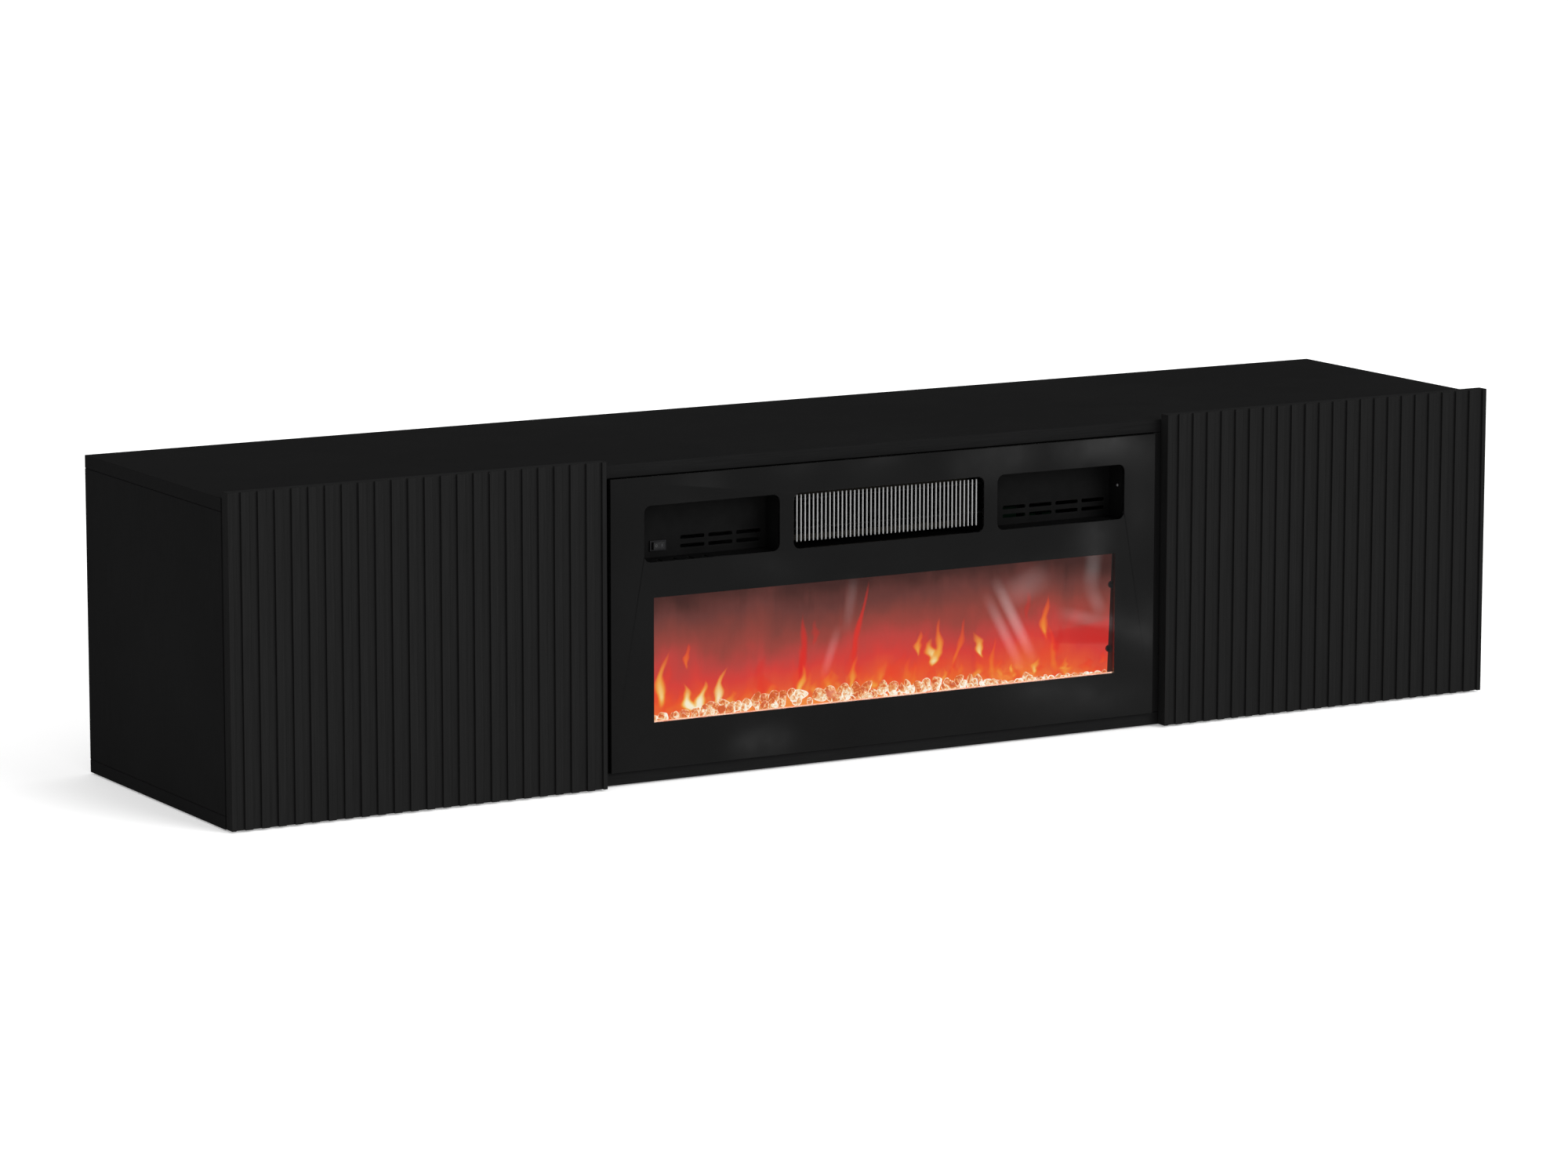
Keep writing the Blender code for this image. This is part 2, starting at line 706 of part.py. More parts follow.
def make_rear_cover(front):
    half = HOUSING_HALF
    cover = box(
        "rear_cover", (-half, front, HOUSING_BOTTOM), (half, front + SHEET, HOUSING_TOP), galvanised()
    )
    for x in VENT_COLUMNS:
        for row in range(VENT_ROWS):
            z = VENT_BOTTOM + row * VENT_PITCH
            low = (x - VENT_WIDTH / 2, front - THROUGH, z)
            cut_box(cover, low, (x + VENT_WIDTH / 2, front + THROUGH, z + VENT_HEIGHT))
    gland = (GLAND_X, front, GLAND_Z)
    hole = (GLAND_X, front - THROUGH, GLAND_Z)
    cut(cover, rod("cutter", hole, GLAND_NECK + GAP, 2 * THROUGH, galvanised(), steps=24, axis="Y"))
    outside = SHEET + GAP
    profile = [
        (-0.010, GLAND_BORE),
        (-0.010, GLAND_NECK),
        (outside, GLAND_NECK),
        (outside, GLAND_COLLAR),
        (outside + 0.005, GLAND_COLLAR),
        (outside + 0.007, GLAND_NECK),
        (outside + 0.014, GLAND_BORE + 0.0025),
        (outside + 0.014, GLAND_BORE),
    ]
    lathe("cord_gland", profile, gland, black_plastic(), axis="Y")


def make_insert_brackets():
    """Stepped brackets that fix the housing's sides to the bay's partitions."""
    for side, sign in (("left", -1), ("right", 1)):
        near, far = HOUSING_HALF + GAP, BAY - GAP
        outline = [
            (near, BRACKET_START),
            (near, BRACKET_STEP + BRACKET_THICKNESS),
            (far - BRACKET_THICKNESS, BRACKET_STEP + BRACKET_THICKNESS),
            (far - BRACKET_THICKNESS, BRACKET_END),
            (far, BRACKET_END),
            (far, BRACKET_STEP),
            (near + BRACKET_THICKNESS, BRACKET_STEP),
            (near + BRACKET_THICKNESS, BRACKET_START),
        ]
        points = [(sign * x, FRONT + y) for x, y in outline]
        pivot = (sign * near, FRONT + BRACKET_STEP, (BRACKET_BOTTOM + BRACKET_TOP) / 2)
        prism(f"{side}_insert_bracket", points, "Z", BRACKET_BOTTOM, BRACKET_TOP, galvanised(), pivot)


def make_blower():
    """The cross-flow blower: wheel with its shaft, motor, end bush, and duct."""
    finish = material("blower_aluminium", (0.55, 0.56, 0.57), 0.35, 1.0)
    centre = (0.0, FAN_Y, FAN_Z)
    disc = 0.0012
    wheel = rod("fan_wheel", (-FAN_HALF, FAN_Y, FAN_Z), FAN_RADIUS, disc, finish, centre, 24)
    for x in (-disc / 2, FAN_HALF - disc):
        join(wheel, rod("tool", (x, FAN_Y, FAN_Z), FAN_RADIUS, disc, finish, centre, 24))
    for i in range(FAN_BLADES):
        join(wheel, make_blade(2 * math.pi * i / FAN_BLADES, finish))
    end_face = SCROLL_HALF + SHEET + GAP
    shaft = 2 * end_face + BUSH_LENGTH - GAP
    join(wheel, rod("tool", (-end_face - BUSH_LENGTH, FAN_Y, FAN_Z), SHAFT_RADIUS, shaft, finish))
    smooth(wheel)
    core_half, core_below, core_above = 0.024, 0.030, 0.022
    can_start, can_radius = 0.010, 0.015
    motor = box(
        "fan_motor",
        (end_face, FAN_Y - core_half, FAN_Z - core_below),
        (end_face + MOTOR_LENGTH, FAN_Y + core_half, FAN_Z + core_above),
        material("motor_steel", (0.2, 0.2, 0.21), 0.5, 0.8),
    )
    can = (end_face + can_start, FAN_Y, FAN_Z)
    join(motor, rod("tool", can, can_radius, MOTOR_LENGTH, motor.data.materials[0]))
    bore = SHAFT_RADIUS + GAP
    flange = 0.009
    bush = [(0.0, bore), (0.0, flange), (BUSH_LENGTH, flange), (BUSH_LENGTH, bore)]
    place = (-end_face - BUSH_LENGTH, FAN_Y, FAN_Z)
    lathe("fan_bush", bush, place, material("bronze", (0.42, 0.26, 0.12), 0.4, 1.0))
    make_duct()


def make_blade(angle, finish):
    """One blade of the wheel: a thin strip set at a slant to the radius, from end disc to end disc."""
    inner, outer = FAN_RADIUS * 0.72, FAN_RADIUS * 0.98
    slant, thick = math.radians(14), math.radians(3.5)
    corners = ((inner, -thick), (outer, slant - thick / 2), (outer, slant + thick / 2), (inner, thick))
    points = [(FAN_Y + r * math.cos(angle + a), FAN_Z + r * math.sin(angle + a)) for r, a in corners]
    half = FAN_HALF - OVERLAP
    return prism("tool", points, "X", -half, half, finish)


def make_duct():
    """The outlet duct with the fan's scroll and end plates behind it. Air enters above the wheel."""
    finish = galvanised()
    low_z, high_z = CUTOUT_BOTTOM - 2 * SHEET, CUTOUT_TOP + SHEET
    front, joint = FRONT - SHEET, FAN_Y - SCROLL_RADIUS
    duct = box(
        "fan_duct",
        (-DUCT_HALF - SHEET, front, low_z - SHEET),
        (DUCT_HALF + SHEET, joint, high_z + SHEET),
        finish,
    )
    cut_box(duct, (-DUCT_HALF, front - THROUGH, low_z), (DUCT_HALF, joint - SHEET, high_z))
    throat = SCROLL_HALF - SHEET
    throat_top = FAN_Z + SCROLL_RADIUS / 2
    cut_box(duct, (-throat, joint - THROUGH, low_z + SHEET), (throat, joint + THROUGH, throat_top))
    outside = arc((FAN_Y, FAN_Z), SCROLL_RADIUS + SHEET, 185, 385, 16)
    inside = arc((FAN_Y, FAN_Z), SCROLL_RADIUS, 385, 185, 16)
    scroll = prism("tool", outside + inside, "X", -SCROLL_HALF, SCROLL_HALF, finish)
    opening = (-throat, FAN_Y - SCROLL_RADIUS - THROUGH, FAN_Z - SCROLL_RADIUS * 0.6)
    cut_box(scroll, opening, (throat, FAN_Y - SCROLL_RADIUS * 0.7, FAN_Z))
    join(duct, scroll)
    for sign in (-1, 1):
        span = sorted((sign * (SCROLL_HALF - SHEET / 2), sign * (SCROLL_HALF + SHEET)))
        low = (span[0], joint - SHEET / 2, FAN_Z - SCROLL_RADIUS - SHEET / 2)
        join_box(duct, low, (span[1], FAN_Y + SCROLL_RADIUS, FAN_Z + SCROLL_RADIUS))
    shaft_hole = 0.006
    cut(duct, rod("cutter", (-BAY, FAN_Y, FAN_Z), shaft_hole, BAY_WIDTH, finish))


def make_heater():
    """A mica frame across the duct, and the ribbon that runs up and down in it."""
    centre_z = (CUTOUT_BOTTOM + CUTOUT_TOP) / 2
    hole_x, hole_z = HEATER_HALF_X - HEATER_BAR, HEATER_HALF_Z - HEATER_BAR
    frame = box(
        "heater_frame",
        (-HEATER_HALF_X, HEATER_Y - HEATER_HALF_Y, centre_z - HEATER_HALF_Z),
        (HEATER_HALF_X, HEATER_Y + HEATER_HALF_Y, centre_z + HEATER_HALF_Z),
        material("mica", (0.32, 0.28, 0.22), 0.7),
    )
    cut_box(
        frame,
        (-hole_x, HEATER_Y - THROUGH, centre_z - hole_z),
        (hole_x, HEATER_Y + THROUGH, centre_z + hole_z),
    )
    reach = hole_z - GAP - RIBBON / 2
    pitch = 2 * (hole_x - HEATER_BAR) / (HEATER_RUNS - 1)
    path = []
    for i in range(HEATER_RUNS):
        x = (i - (HEATER_RUNS - 1) / 2) * pitch
        ends = (-reach, reach) if i % 2 == 0 else (reach, -reach)
        path += [(x, centre_z + z) for z in ends]
    prism(
        "heating_element",
        ribbon_outline(path, RIBBON),
        "Y",
        HEATER_Y - RIBBON_HALF_Y,
        HEATER_Y + RIBBON_HALF_Y,
        material("resistance_ribbon", (0.35, 0.33, 0.31), 0.4, 1.0),
        (0.0, HEATER_Y, centre_z),
    )


def ribbon_outline(path, thickness):
    """The outline of a square-cornered path widened to the given thickness."""
    segments = [Vector(end) - Vector(start) for start, end in zip(path, path[1:])]
    normals = [Vector((-step.y, step.x)).normalized() * thickness / 2 for step in segments]
    shifts = [normals[0], *(a + b for a, b in zip(normals, normals[1:])), normals[-1]]
    left = [tuple(Vector(point) + shift) for point, shift in zip(path, shifts)]
    right = [tuple(Vector(point) - shift) for point, shift in zip(path, shifts)]
    return left + right[::-1]


def screen_y(height):
    """Where the slanted flame screen's front face is at a height."""
    share = (height - SCREEN_BOTTOM) / (SCREEN_TOP - SCREEN_BOTTOM)
    return SCREEN_BOTTOM_Y + share * (SCREEN_TOP_Y - SCREEN_BOTTOM_Y)


def make_flame_chamber():
    """The liner, the slanted screen with its clips, the lit tray with its crystals, and the lamps."""
    deck = DECK_HEIGHT - GAP
    outer = LINER_HALF + SHEET
    outline = [
        (-outer, LINER_BOTTOM),
        (outer, LINER_BOTTOM),
        (outer, deck),
        (LINER_HALF, deck),
        (LINER_HALF, LINER_BOTTOM + SHEET),
        (-LINER_HALF, LINER_BOTTOM + SHEET),
        (-LINER_HALF, deck),
        (-outer, deck),
    ]
    liner = prism("firebox_liner", outline, "Y", FRONT - SHEET, FRONT + LINER_DEPTH, black_sheet())
    rod_hole = 0.0045
    cut(liner, rod("cutter", (-BAY, SPINNER_Y, SPINNER_Z), rod_hole, BAY_WIDTH, black_sheet()))
    make_screen()
    make_tray_and_lamps()


def make_screen():
    """The slanted frosted screen and the four half-round clips at its ends."""
    half = LINER_HALF - GAP
    slab = [
        (SCREEN_BOTTOM_Y, SCREEN_BOTTOM),
        (SCREEN_TOP_Y, SCREEN_TOP),
        (SCREEN_TOP_Y + SCREEN_THICKNESS, SCREEN_TOP),
        (SCREEN_BOTTOM_Y + SCREEN_THICKNESS, SCREEN_BOTTOM),
    ]
    frosted = material("frosted_screen", (0.35, 0.05, 0.04), 0.5)
    prism("flame_screen", slab, "X", -half, half, frosted, (0.0, SCREEN_BOTTOM_Y, SCREEN_BOTTOM))
    for side, sign in (("left", -1), ("right", 1)):
        for place, height in CLIP_HEIGHTS:
            front = screen_y(height + CLIP_RADIUS) - GAP - CLIP_THICKNESS
            points = [(sign * (half - x), height + z) for x, z in arc((0.0, 0.0), CLIP_RADIUS, -90, 90, 10)]
            pivot = (sign * half, front, height)
            name = f"screen_clip_{side}_{place}"
            prism(name, points, "Y", front, front + CLIP_THICKNESS, black_plastic(), pivot)


def make_tray_and_lamps():
    """The lit tray with its crystals, the lamps under it and the lamps behind the screen."""
    half = LINER_HALF - GAP
    front, back = FRONT + 0.0005, screen_y(TRAY_TOP) - GAP
    tray = material("frosted_tray", (0.8, 0.75, 0.7), 0.4)
    box("crystal_tray", (-half, front, TRAY_TOP - TRAY_THICKNESS), (half, back - 0.001, TRAY_TOP), tray)
    make_crystal_bed(half - 0.001, front, back - 0.0015)
    under = LINER_BOTTOM - GAP - LAMP_STRIP_THICKNESS
    inside = LINER_BOTTOM + SHEET + GAP
    for name, start, low in (("ember", 0.002, under), ("flame", 0.050, inside)):
        box(
            f"{name}_lamp_strip",
            (-LAMP_STRIP_HALF, FRONT + start, low),
            (LAMP_STRIP_HALF, FRONT + start + LAMP_STRIP_WIDTH, low + LAMP_STRIP_THICKNESS),
            material("lamp_board", (0.75, 0.75, 0.72), 0.5),
        )


def make_crystal_bed(half, front, back):
    """The heap of crystals as one solid with a lumpy top."""
    bm = bmesh.new()
    columns, rows = 44, 3
    rim, rim_share = 0.49, 0.45
    bmesh.ops.create_grid(bm, x_segments=columns, y_segments=rows, size=0.5)
    base = TRAY_TOP + GAP
    for vert in bm.verts:
        share_x, share_y = vert.co.x, vert.co.y
        lump = random.uniform(0.45, 1.0) * (CRYSTAL_TOP - base)
        if abs(share_y) > rim or abs(share_x) > rim:
            lump *= rim_share
        vert.co = (2 * half * share_x, (front + back) / 2 + (back - front) * share_y, base + lump)
    extruded = bmesh.ops.extrude_face_region(bm, geom=bm.faces[:])
    lowered = [item for item in extruded["geom"] if isinstance(item, bmesh.types.BMVert)]
    for vert in lowered:
        vert.co.z = base
    add_object(bm, "crystal_bed", material("glass_crystals", (0.9, 0.6, 0.35), 0.15), (0.0, front, base))


def make_spinner():
    """The turning rod whose mirror flags throw the flame light on the screen, its motor and its bush."""
    centre = (0.0, SPINNER_Y, SPINNER_Z)
    start = -LINER_HALF - SHEET
    bush_start, bush_length = LINER_HALF + SHEET + GAP, 0.007
    length = bush_start + bush_length - start
    foil = material("mirror_foil", (0.8, 0.8, 0.8), 0.12, 1.0)
    spinner = rod("flame_spinner", (start, SPINNER_Y, SPINNER_Z), SPINNER_ROD, length, foil, centre, 12)
    for i in range(SPINNER_FLAGS):
        x = (i - (SPINNER_FLAGS - 1) / 2) * FLAG_PITCH
        bm = bmesh.new()
        size = Matrix.Diagonal((FLAG_WIDTH, FLAG_HEIGHT, FLAG_THICKNESS, 1.0))
        bmesh.ops.create_cube(bm, size=1.0, matrix=size)
        turn = Matrix.Rotation(FLAG_TURN * i, 3, "X")
        bmesh.ops.rotate(bm, verts=bm.verts, cent=(0, 0, 0), matrix=turn)
        bmesh.ops.translate(bm, verts=bm.verts, vec=(x, SPINNER_Y, SPINNER_Z))
        join(spinner, add_object(bm, "tool", foil))
    motor_radius, motor_length = 0.022, 0.016
    ear_reach, ear_half = 0.030, 0.006
    motor = rod(
        "spinner_motor",
        (start - GAP - motor_length, SPINNER_Y, SPINNER_Z),
        motor_radius,
        motor_length,
        material("motor_zinc", (0.4, 0.4, 0.42), 0.4, 0.9),
        steps=28,
    )
    join_box(
        motor,
        (start - GAP - 0.003, SPINNER_Y - ear_reach, SPINNER_Z - ear_half),
        (start - GAP - 0.001, SPINNER_Y + ear_reach, SPINNER_Z + ear_half),
    )
    bore, collar = SPINNER_ROD + GAP, 0.007
    profile = [(0.0, bore), (0.0, collar), (bush_length, collar), (bush_length, bore)]
    place = (bush_start, SPINNER_Y, SPINNER_Z)
    lathe("spinner_bush", profile, place, material("nylon", (0.75, 0.73, 0.68), 0.5), steps=20)


def make_control_board():
    """The circuit board on the deck behind the right recess, with its relay, transformer and capacitor."""
    deck = DECK_HEIGHT + SHEET
    base = deck + BOARD_LIFT
    thickness, overlap = 0.0016, 0.0006
    board = box(
        "control_board",
        (BOARD_LOW[0], FRONT + BOARD_LOW[1], base),
        (BOARD_HIGH[0], FRONT + BOARD_HIGH[1], base + thickness),
        material("circuit_board", (0.03, 0.12, 0.05), 0.45),
    )
    for (x0, y0), (x1, y1), height in BOARD_PARTS:
        low = (x0, FRONT + y0, base + thickness - overlap)
        join_box(board, low, (x1, FRONT + y1, base + thickness + height))
    foot, inset = 0.0025, 0.005
    for x in (BOARD_LOW[0] + inset, BOARD_HIGH[0] - inset):
        for y in (FRONT + BOARD_LOW[1] + inset, FRONT + BOARD_HIGH[1] - inset):
            join_box(board, (x - foot, y - foot, deck + GAP), (x + foot, y + foot, base + overlap))


def main():
    clear_scene()
    make_cabinet()
    make_door("left", -1)
    make_door("right", 1)
    make_glass()
    make_recesses()
    make_grille()
    make_housing()
    make_insert_brackets()
    make_blower()
    make_heater()
    make_flame_chamber()
    make_spinner()
    make_control_board()


main()
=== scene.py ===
"""Looks of the television cabinet with its electric fireplace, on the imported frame."""

import math
import random

import bmesh
import bpy
from mathutils import Matrix, Vector


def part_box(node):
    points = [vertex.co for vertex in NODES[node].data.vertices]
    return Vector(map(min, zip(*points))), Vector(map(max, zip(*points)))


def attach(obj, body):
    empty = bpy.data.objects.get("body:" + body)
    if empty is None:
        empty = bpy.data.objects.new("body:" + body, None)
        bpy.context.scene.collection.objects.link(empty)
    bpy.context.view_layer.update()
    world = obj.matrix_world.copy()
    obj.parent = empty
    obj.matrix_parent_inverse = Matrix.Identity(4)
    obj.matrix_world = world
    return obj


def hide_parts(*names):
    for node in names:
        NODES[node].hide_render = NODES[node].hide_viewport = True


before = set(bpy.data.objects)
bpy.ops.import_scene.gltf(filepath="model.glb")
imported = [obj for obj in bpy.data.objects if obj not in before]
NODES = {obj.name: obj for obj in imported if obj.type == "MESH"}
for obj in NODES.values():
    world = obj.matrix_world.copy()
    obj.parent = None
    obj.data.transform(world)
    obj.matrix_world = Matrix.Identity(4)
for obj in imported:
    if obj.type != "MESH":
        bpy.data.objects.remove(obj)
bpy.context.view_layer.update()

SIDES, ENDS = ("left", "right"), ("lower", "upper")
LOOKS = {}
random.seed(11)

# ---------------------------------------------------------------- places

# In metres: boxes from the frame, and the glass's window and cut-outs as the CAD has them.
GLASS_LOW, GLASS_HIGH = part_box("front_glass")
WINDOW_HALF = 0.3319
WINDOW_BOTTOM, WINDOW_TOP = 0.0739, 0.2271
CUTOUT_BOTTOM, CUTOUT_TOP = 0.2706, 0.3397
CUTOUT_RADIUS, CORNER_STEPS = 0.009, 8
CUTOUTS = ((-0.3446, -0.1565), (-0.1367, 0.1367), (0.1565, 0.3446))
SCREEN_LOW, SCREEN_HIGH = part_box("flame_screen")
SCREEN_SLAB = 0.002

# ---------------------------------------------------------------- materials


def srgb(*values):
    """Display values from 0 to 255 as linear colour."""
    shares = [v / 255 for v in values]
    return tuple(s / 12.92 if s <= 0.04045 else ((s + 0.055) / 1.055) ** 2.4 for s in shares)


class Look:
    """A node material built step by step round one Principled shader, kept in LOOKS by its name."""

    def __init__(self, name, colour, roughness, metallic=0.0, specular=0.5):
        self.material = bpy.data.materials.new(name)
        self.material.use_nodes = True
        self.nodes = self.material.node_tree.nodes
        self.links = self.material.node_tree.links
        self.shader = self.nodes["Principled BSDF"]
        self.set("Base Color", (*colour, 1.0))
        self.set("Roughness", roughness)
        self.set("Metallic", metallic)
        self.set("Specular IOR Level", specular)
        self.place = self.nodes.new("ShaderNodeTexCoord").outputs["Object"]
        self.height = None
        LOOKS[name] = self

    def set(self, socket, value):
        self.shader.inputs[socket].default_value = value

    def link(self, output, socket):
        self.links.new(output, self.shader.inputs[socket])

    def scaled(self, scale):
        mapping = self.nodes.new("ShaderNodeMapping")
        mapping.inputs["Scale"].default_value = scale
        self.links.new(self.place, mapping.inputs["Vector"])
        return mapping.outputs["Vector"]

    def noise(self, scale, detail=4.0, roughness=0.55, distortion=0.0):
        """A noise texture; scale is features per metre along each axis."""
        texture = self.nodes.new("ShaderNodeTexNoise")
        texture.inputs["Scale"].default_value = 1.0
        texture.inputs["Detail"].default_value = detail
        texture.inputs["Roughness"].default_value = roughness
        texture.inputs["Distortion"].default_value = distortion
        self.links.new(self.scaled(scale), texture.inputs["Vector"])
        return texture.outputs["Fac"]

    def attribute(self, name):
        node = self.nodes.new("ShaderNodeAttribute")
        node.attribute_name = name
        return node.outputs["Fac"]

    def blend(self, share, first, second):
        """A colour between two colour outputs."""
        node = self.nodes.new("ShaderNodeMix")
        node.data_type = "RGBA"
        self.links.new(share, node.inputs["Factor"])
        self.links.new(first, node.inputs["A"])
        self.links.new(second, node.inputs["B"])
        return node.outputs["Result"]

    def glow(self, colour, strength=1.0):
        self.link(colour, "Emission Color")
        self.set("Emission Strength", strength)
        return self

    def cells(self, scale):
        texture = self.nodes.new("ShaderNodeTexVoronoi")
        texture.inputs["Scale"].default_value = 1.0
        self.links.new(self.scaled(scale), texture.inputs["Vector"])
        return texture.outputs["Distance"]

    def remap(self, value, low, high, to_low, to_high):
        ranged = self.nodes.new("ShaderNodeMapRange")
        limits = {"From Min": low, "From Max": high, "To Min": to_low, "To Max": to_high}
        for socket, number in limits.items():
            ranged.inputs[socket].default_value = number
        self.links.new(value, ranged.inputs["Value"])
        return ranged.outputs["Result"]

    def maths(self, operation, first, second):
        node = self.nodes.new("ShaderNodeMath")
        node.operation = operation
        for socket, value in zip(node.inputs, (first, second)):
            if isinstance(value, (int, float)):
                socket.default_value = value
            else:
                self.links.new(value, socket)
        return node.outputs[0]

    def axis(self, name):
        split = self.nodes.new("ShaderNodeSeparateXYZ")
        self.links.new(self.place, split.inputs[0])
        return split.outputs[name]

    def ramp(self, value, stops):
        """A colour ramp; stops are (position, linear colour) pairs."""
        node = self.nodes.new("ShaderNodeValToRGB")
        marks = node.color_ramp.elements
        marks.remove(marks[1])
        marks[0].position = stops[0][0]
        marks[0].color = (*stops[0][1], 1.0)
        for position, colour in stops[1:]:
            marks.new(position).color = (*colour, 1.0)
        self.links.new(value, node.inputs["Fac"])
        return node.outputs["Color"]

    def add(self, value, source, low, high, to_low, to_high):
        """A value with another one, brought to a range, added to it."""
        return self.maths("ADD", value, self.remap(source, low, high, to_low, to_high))

    def vary_colour(self, value, dark, light):
        self.link(self.ramp(value, ((0.25, dark), (0.75, light))), "Base Color")
        return self

    def vary_roughness(self, value, low, high):
        self.link(self.remap(value, 0.3, 0.7, low, high), "Roughness")
        return self

    def bump(self, value, depth):
        """Relief of a depth in metres, on top of any relief made before it."""
        node = self.nodes.new("ShaderNodeBump")
        node.inputs["Distance"].default_value = depth
        self.links.new(value, node.inputs["Height"])
        if self.height:
            self.links.new(self.height, node.inputs["Normal"])
        self.height = node.outputs["Normal"]
        self.link(self.height, "Normal")
        return self


MATT_ROUGHNESS = (0.52, 0.66)


def laminate(name, level, along):
    """Matt black laminate with a fine pore print along one axis, and faint clouding."""
    look = Look(name, (level,) * 3, 0.6, specular=0.01)
    grain = tuple(18.0 if axis == along else 900.0 for axis in "XYZ")
    fine = look.noise(grain, detail=5.0)
    cloud = look.noise((3.0,) * 3, detail=3.0)
    mixed = look.maths("ADD", look.maths("MULTIPLY", fine, 0.6), look.maths("MULTIPLY", cloud, 0.4))
    look.vary_colour(mixed, (level * 0.72,) * 3, (level * 1.28, level * 1.28, level * 1.3))
    look.vary_roughness(cloud, *MATT_ROUGHNESS)
    return look.bump(fine, 0.00012).bump(look.noise((2600.0,) * 3, detail=2.0), 0.00004)


def sheet_metal(name, colour, roughness, flakes=90.0):
    """Zinc-coated sheet: broad crystals, brushed scratches and dull patches."""
    look = Look(name, colour, roughness, metallic=0.9)
    spangle = look.cells((flakes,) * 3)
    patches = look.noise((9.0,) * 3, detail=6.0)
    mixed = look.maths("ADD", look.maths("MULTIPLY", spangle, 0.5), look.maths("MULTIPLY", patches, 0.6))
    look.vary_colour(mixed, tuple(c * 0.75 for c in colour), tuple(min(1.0, c * 1.12) for c in colour))
    look.vary_roughness(patches, roughness - 0.08, roughness + 0.14)
    return look.bump(look.noise((40.0, 1200.0, 1200.0), detail=3.0), 0.00003)


def brushed(name, colour, roughness, along="X"):
    """Bright metal with fine brushing along one axis."""
    look = Look(name, colour, roughness, metallic=1.0)
    lines = look.noise(tuple(30.0 if axis == along else 2400.0 for axis in "XYZ"), detail=4.0)
    look.vary_colour(lines, tuple(c * 0.8 for c in colour), colour)
    look.vary_roughness(lines, roughness - 0.07, roughness + 0.1)
    return look.bump(lines, 0.00002)


def paint(name, level, roughness=0.5, specular=0.3):
    """Powder coat: a fine orange peel with faint dust in it."""
    look = Look(name, (level,) * 3, roughness, specular=specular)
    peel = look.noise((700.0,) * 3, detail=2.0)
    dust = look.noise((35.0,) * 3, detail=7.0, roughness=0.7)
    look.vary_colour(dust, (level * 0.8,) * 3, (level * 1.3,) * 3)
    look.vary_roughness(peel, roughness - 0.06, roughness + 0.08)
    return look.bump(peel, 0.00006)


def plastic(name, colour, roughness=0.45, specular=0.4):
    """Moulded plastic with a spark-eroded texture."""
    look = Look(name, colour, roughness, specular=specular)
    grit = look.noise((1500.0,) * 3, detail=3.0)
    look.vary_colour(grit, tuple(c * 0.88 for c in colour), tuple(min(1.0, c * 1.1) for c in colour))
    look.vary_roughness(grit, roughness - 0.05, roughness + 0.1)
    return look.bump(grit, 0.00005)


def dress(look, *names):
    """Gives CAD nodes a finished material."""
    for name in names:
        for material_slot in NODES[name].material_slots:
            material_slot.material = look.material


# ---------------------------------------------------------------- mesh helpers


def add_object(bm, name, look=None):
    """Turns a bmesh in world metres into an object in the scene."""
    mesh = bpy.data.meshes.new(name)
    bm.to_mesh(mesh)
    bm.free()
    if look:
        mesh.materials.append(look.material)
    made = bpy.data.objects.new(name, mesh)
    bpy.context.scene.collection.objects.link(made)
    return made


def finish_mesh(bm, name, look, body, bevel=0.0, angle=40):
    """Makes a smooth-shaded piece, with softened edges if asked for, that rides on a body."""
    bmesh.ops.recalc_face_normals(bm, faces=bm.faces)
    piece = add_object(bm, name, look)
    if bevel:
        modifier = piece.modifiers.new("edges", "BEVEL")
        modifier.width = bevel
        modifier.segments = 2
        modifier.limit_method = "ANGLE"
        modifier.angle_limit = math.radians(angle)
        modifier.harden_normals = True
    piece.data.shade_smooth()
    piece.data.set_sharp_from_angle(angle=math.radians(angle))
    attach(piece, body)
    return piece


def skin(bm, loops, closed=True):
    """Faces between each loop of points and the next; a closed loop's ends are joined too."""
    for lower, upper in zip(loops, loops[1:]):
        count = len(lower)
        for i in range(count if closed else count - 1):
            j = (i + 1) % count
            bm.faces.new((lower[i], lower[j], upper[j], upper[i]))


def extrude(bm, faces, step):
    """Thickens flat faces into a solid, by a step (x, y, z)."""
    made = bmesh.ops.extrude_face_region(bm, geom=faces)
    moved = [item for item in made["geom"] if isinstance(item, bmesh.types.BMVert)]
    bmesh.ops.translate(bm, verts=moved, vec=step)


def circle_angles(steps):
    return [2 * math.pi * i / steps for i in range(steps)]


def arc(centre, radius, start, end, steps):
    angles = [math.radians(start + (end - start) * i / steps) for i in range(steps + 1)]
    return [(centre[0] + radius * math.cos(a), centre[1] + radius * math.sin(a)) for a in angles]


def rounded_rectangle(low, high, radius):
    """An outline with round corners, as (x, z) points."""
    left, right = low[0] + radius, high[0] - radius
    bottom, top = low[1] + radius, high[1] - radius
    corners = ((right, top), (left, top), (left, bottom), (right, bottom))
    points = []
    for quarter, centre in enumerate(corners):
        points += arc(centre, radius, 90 * quarter, 90 * (quarter + 1), CORNER_STEPS)
    return points


def sheet_with_holes(outline, holes, front, back):
    """A flat sheet in the X-Z plane from front to back, with holes in it, as a bmesh."""
    bm = bmesh.new()
    loops = []
    for points in (outline, *holes):
        verts = [bm.verts.new((x, front, z)) for x, z in points]
        loops += [bm.edges.new((a, b)) for a, b in zip(verts, verts[1:] + verts[:1])]
    bmesh.ops.triangle_fill(bm, use_beauty=True, edges=loops)
    extrude(bm, bm.faces[:], (0, back - front, 0))
    return bm


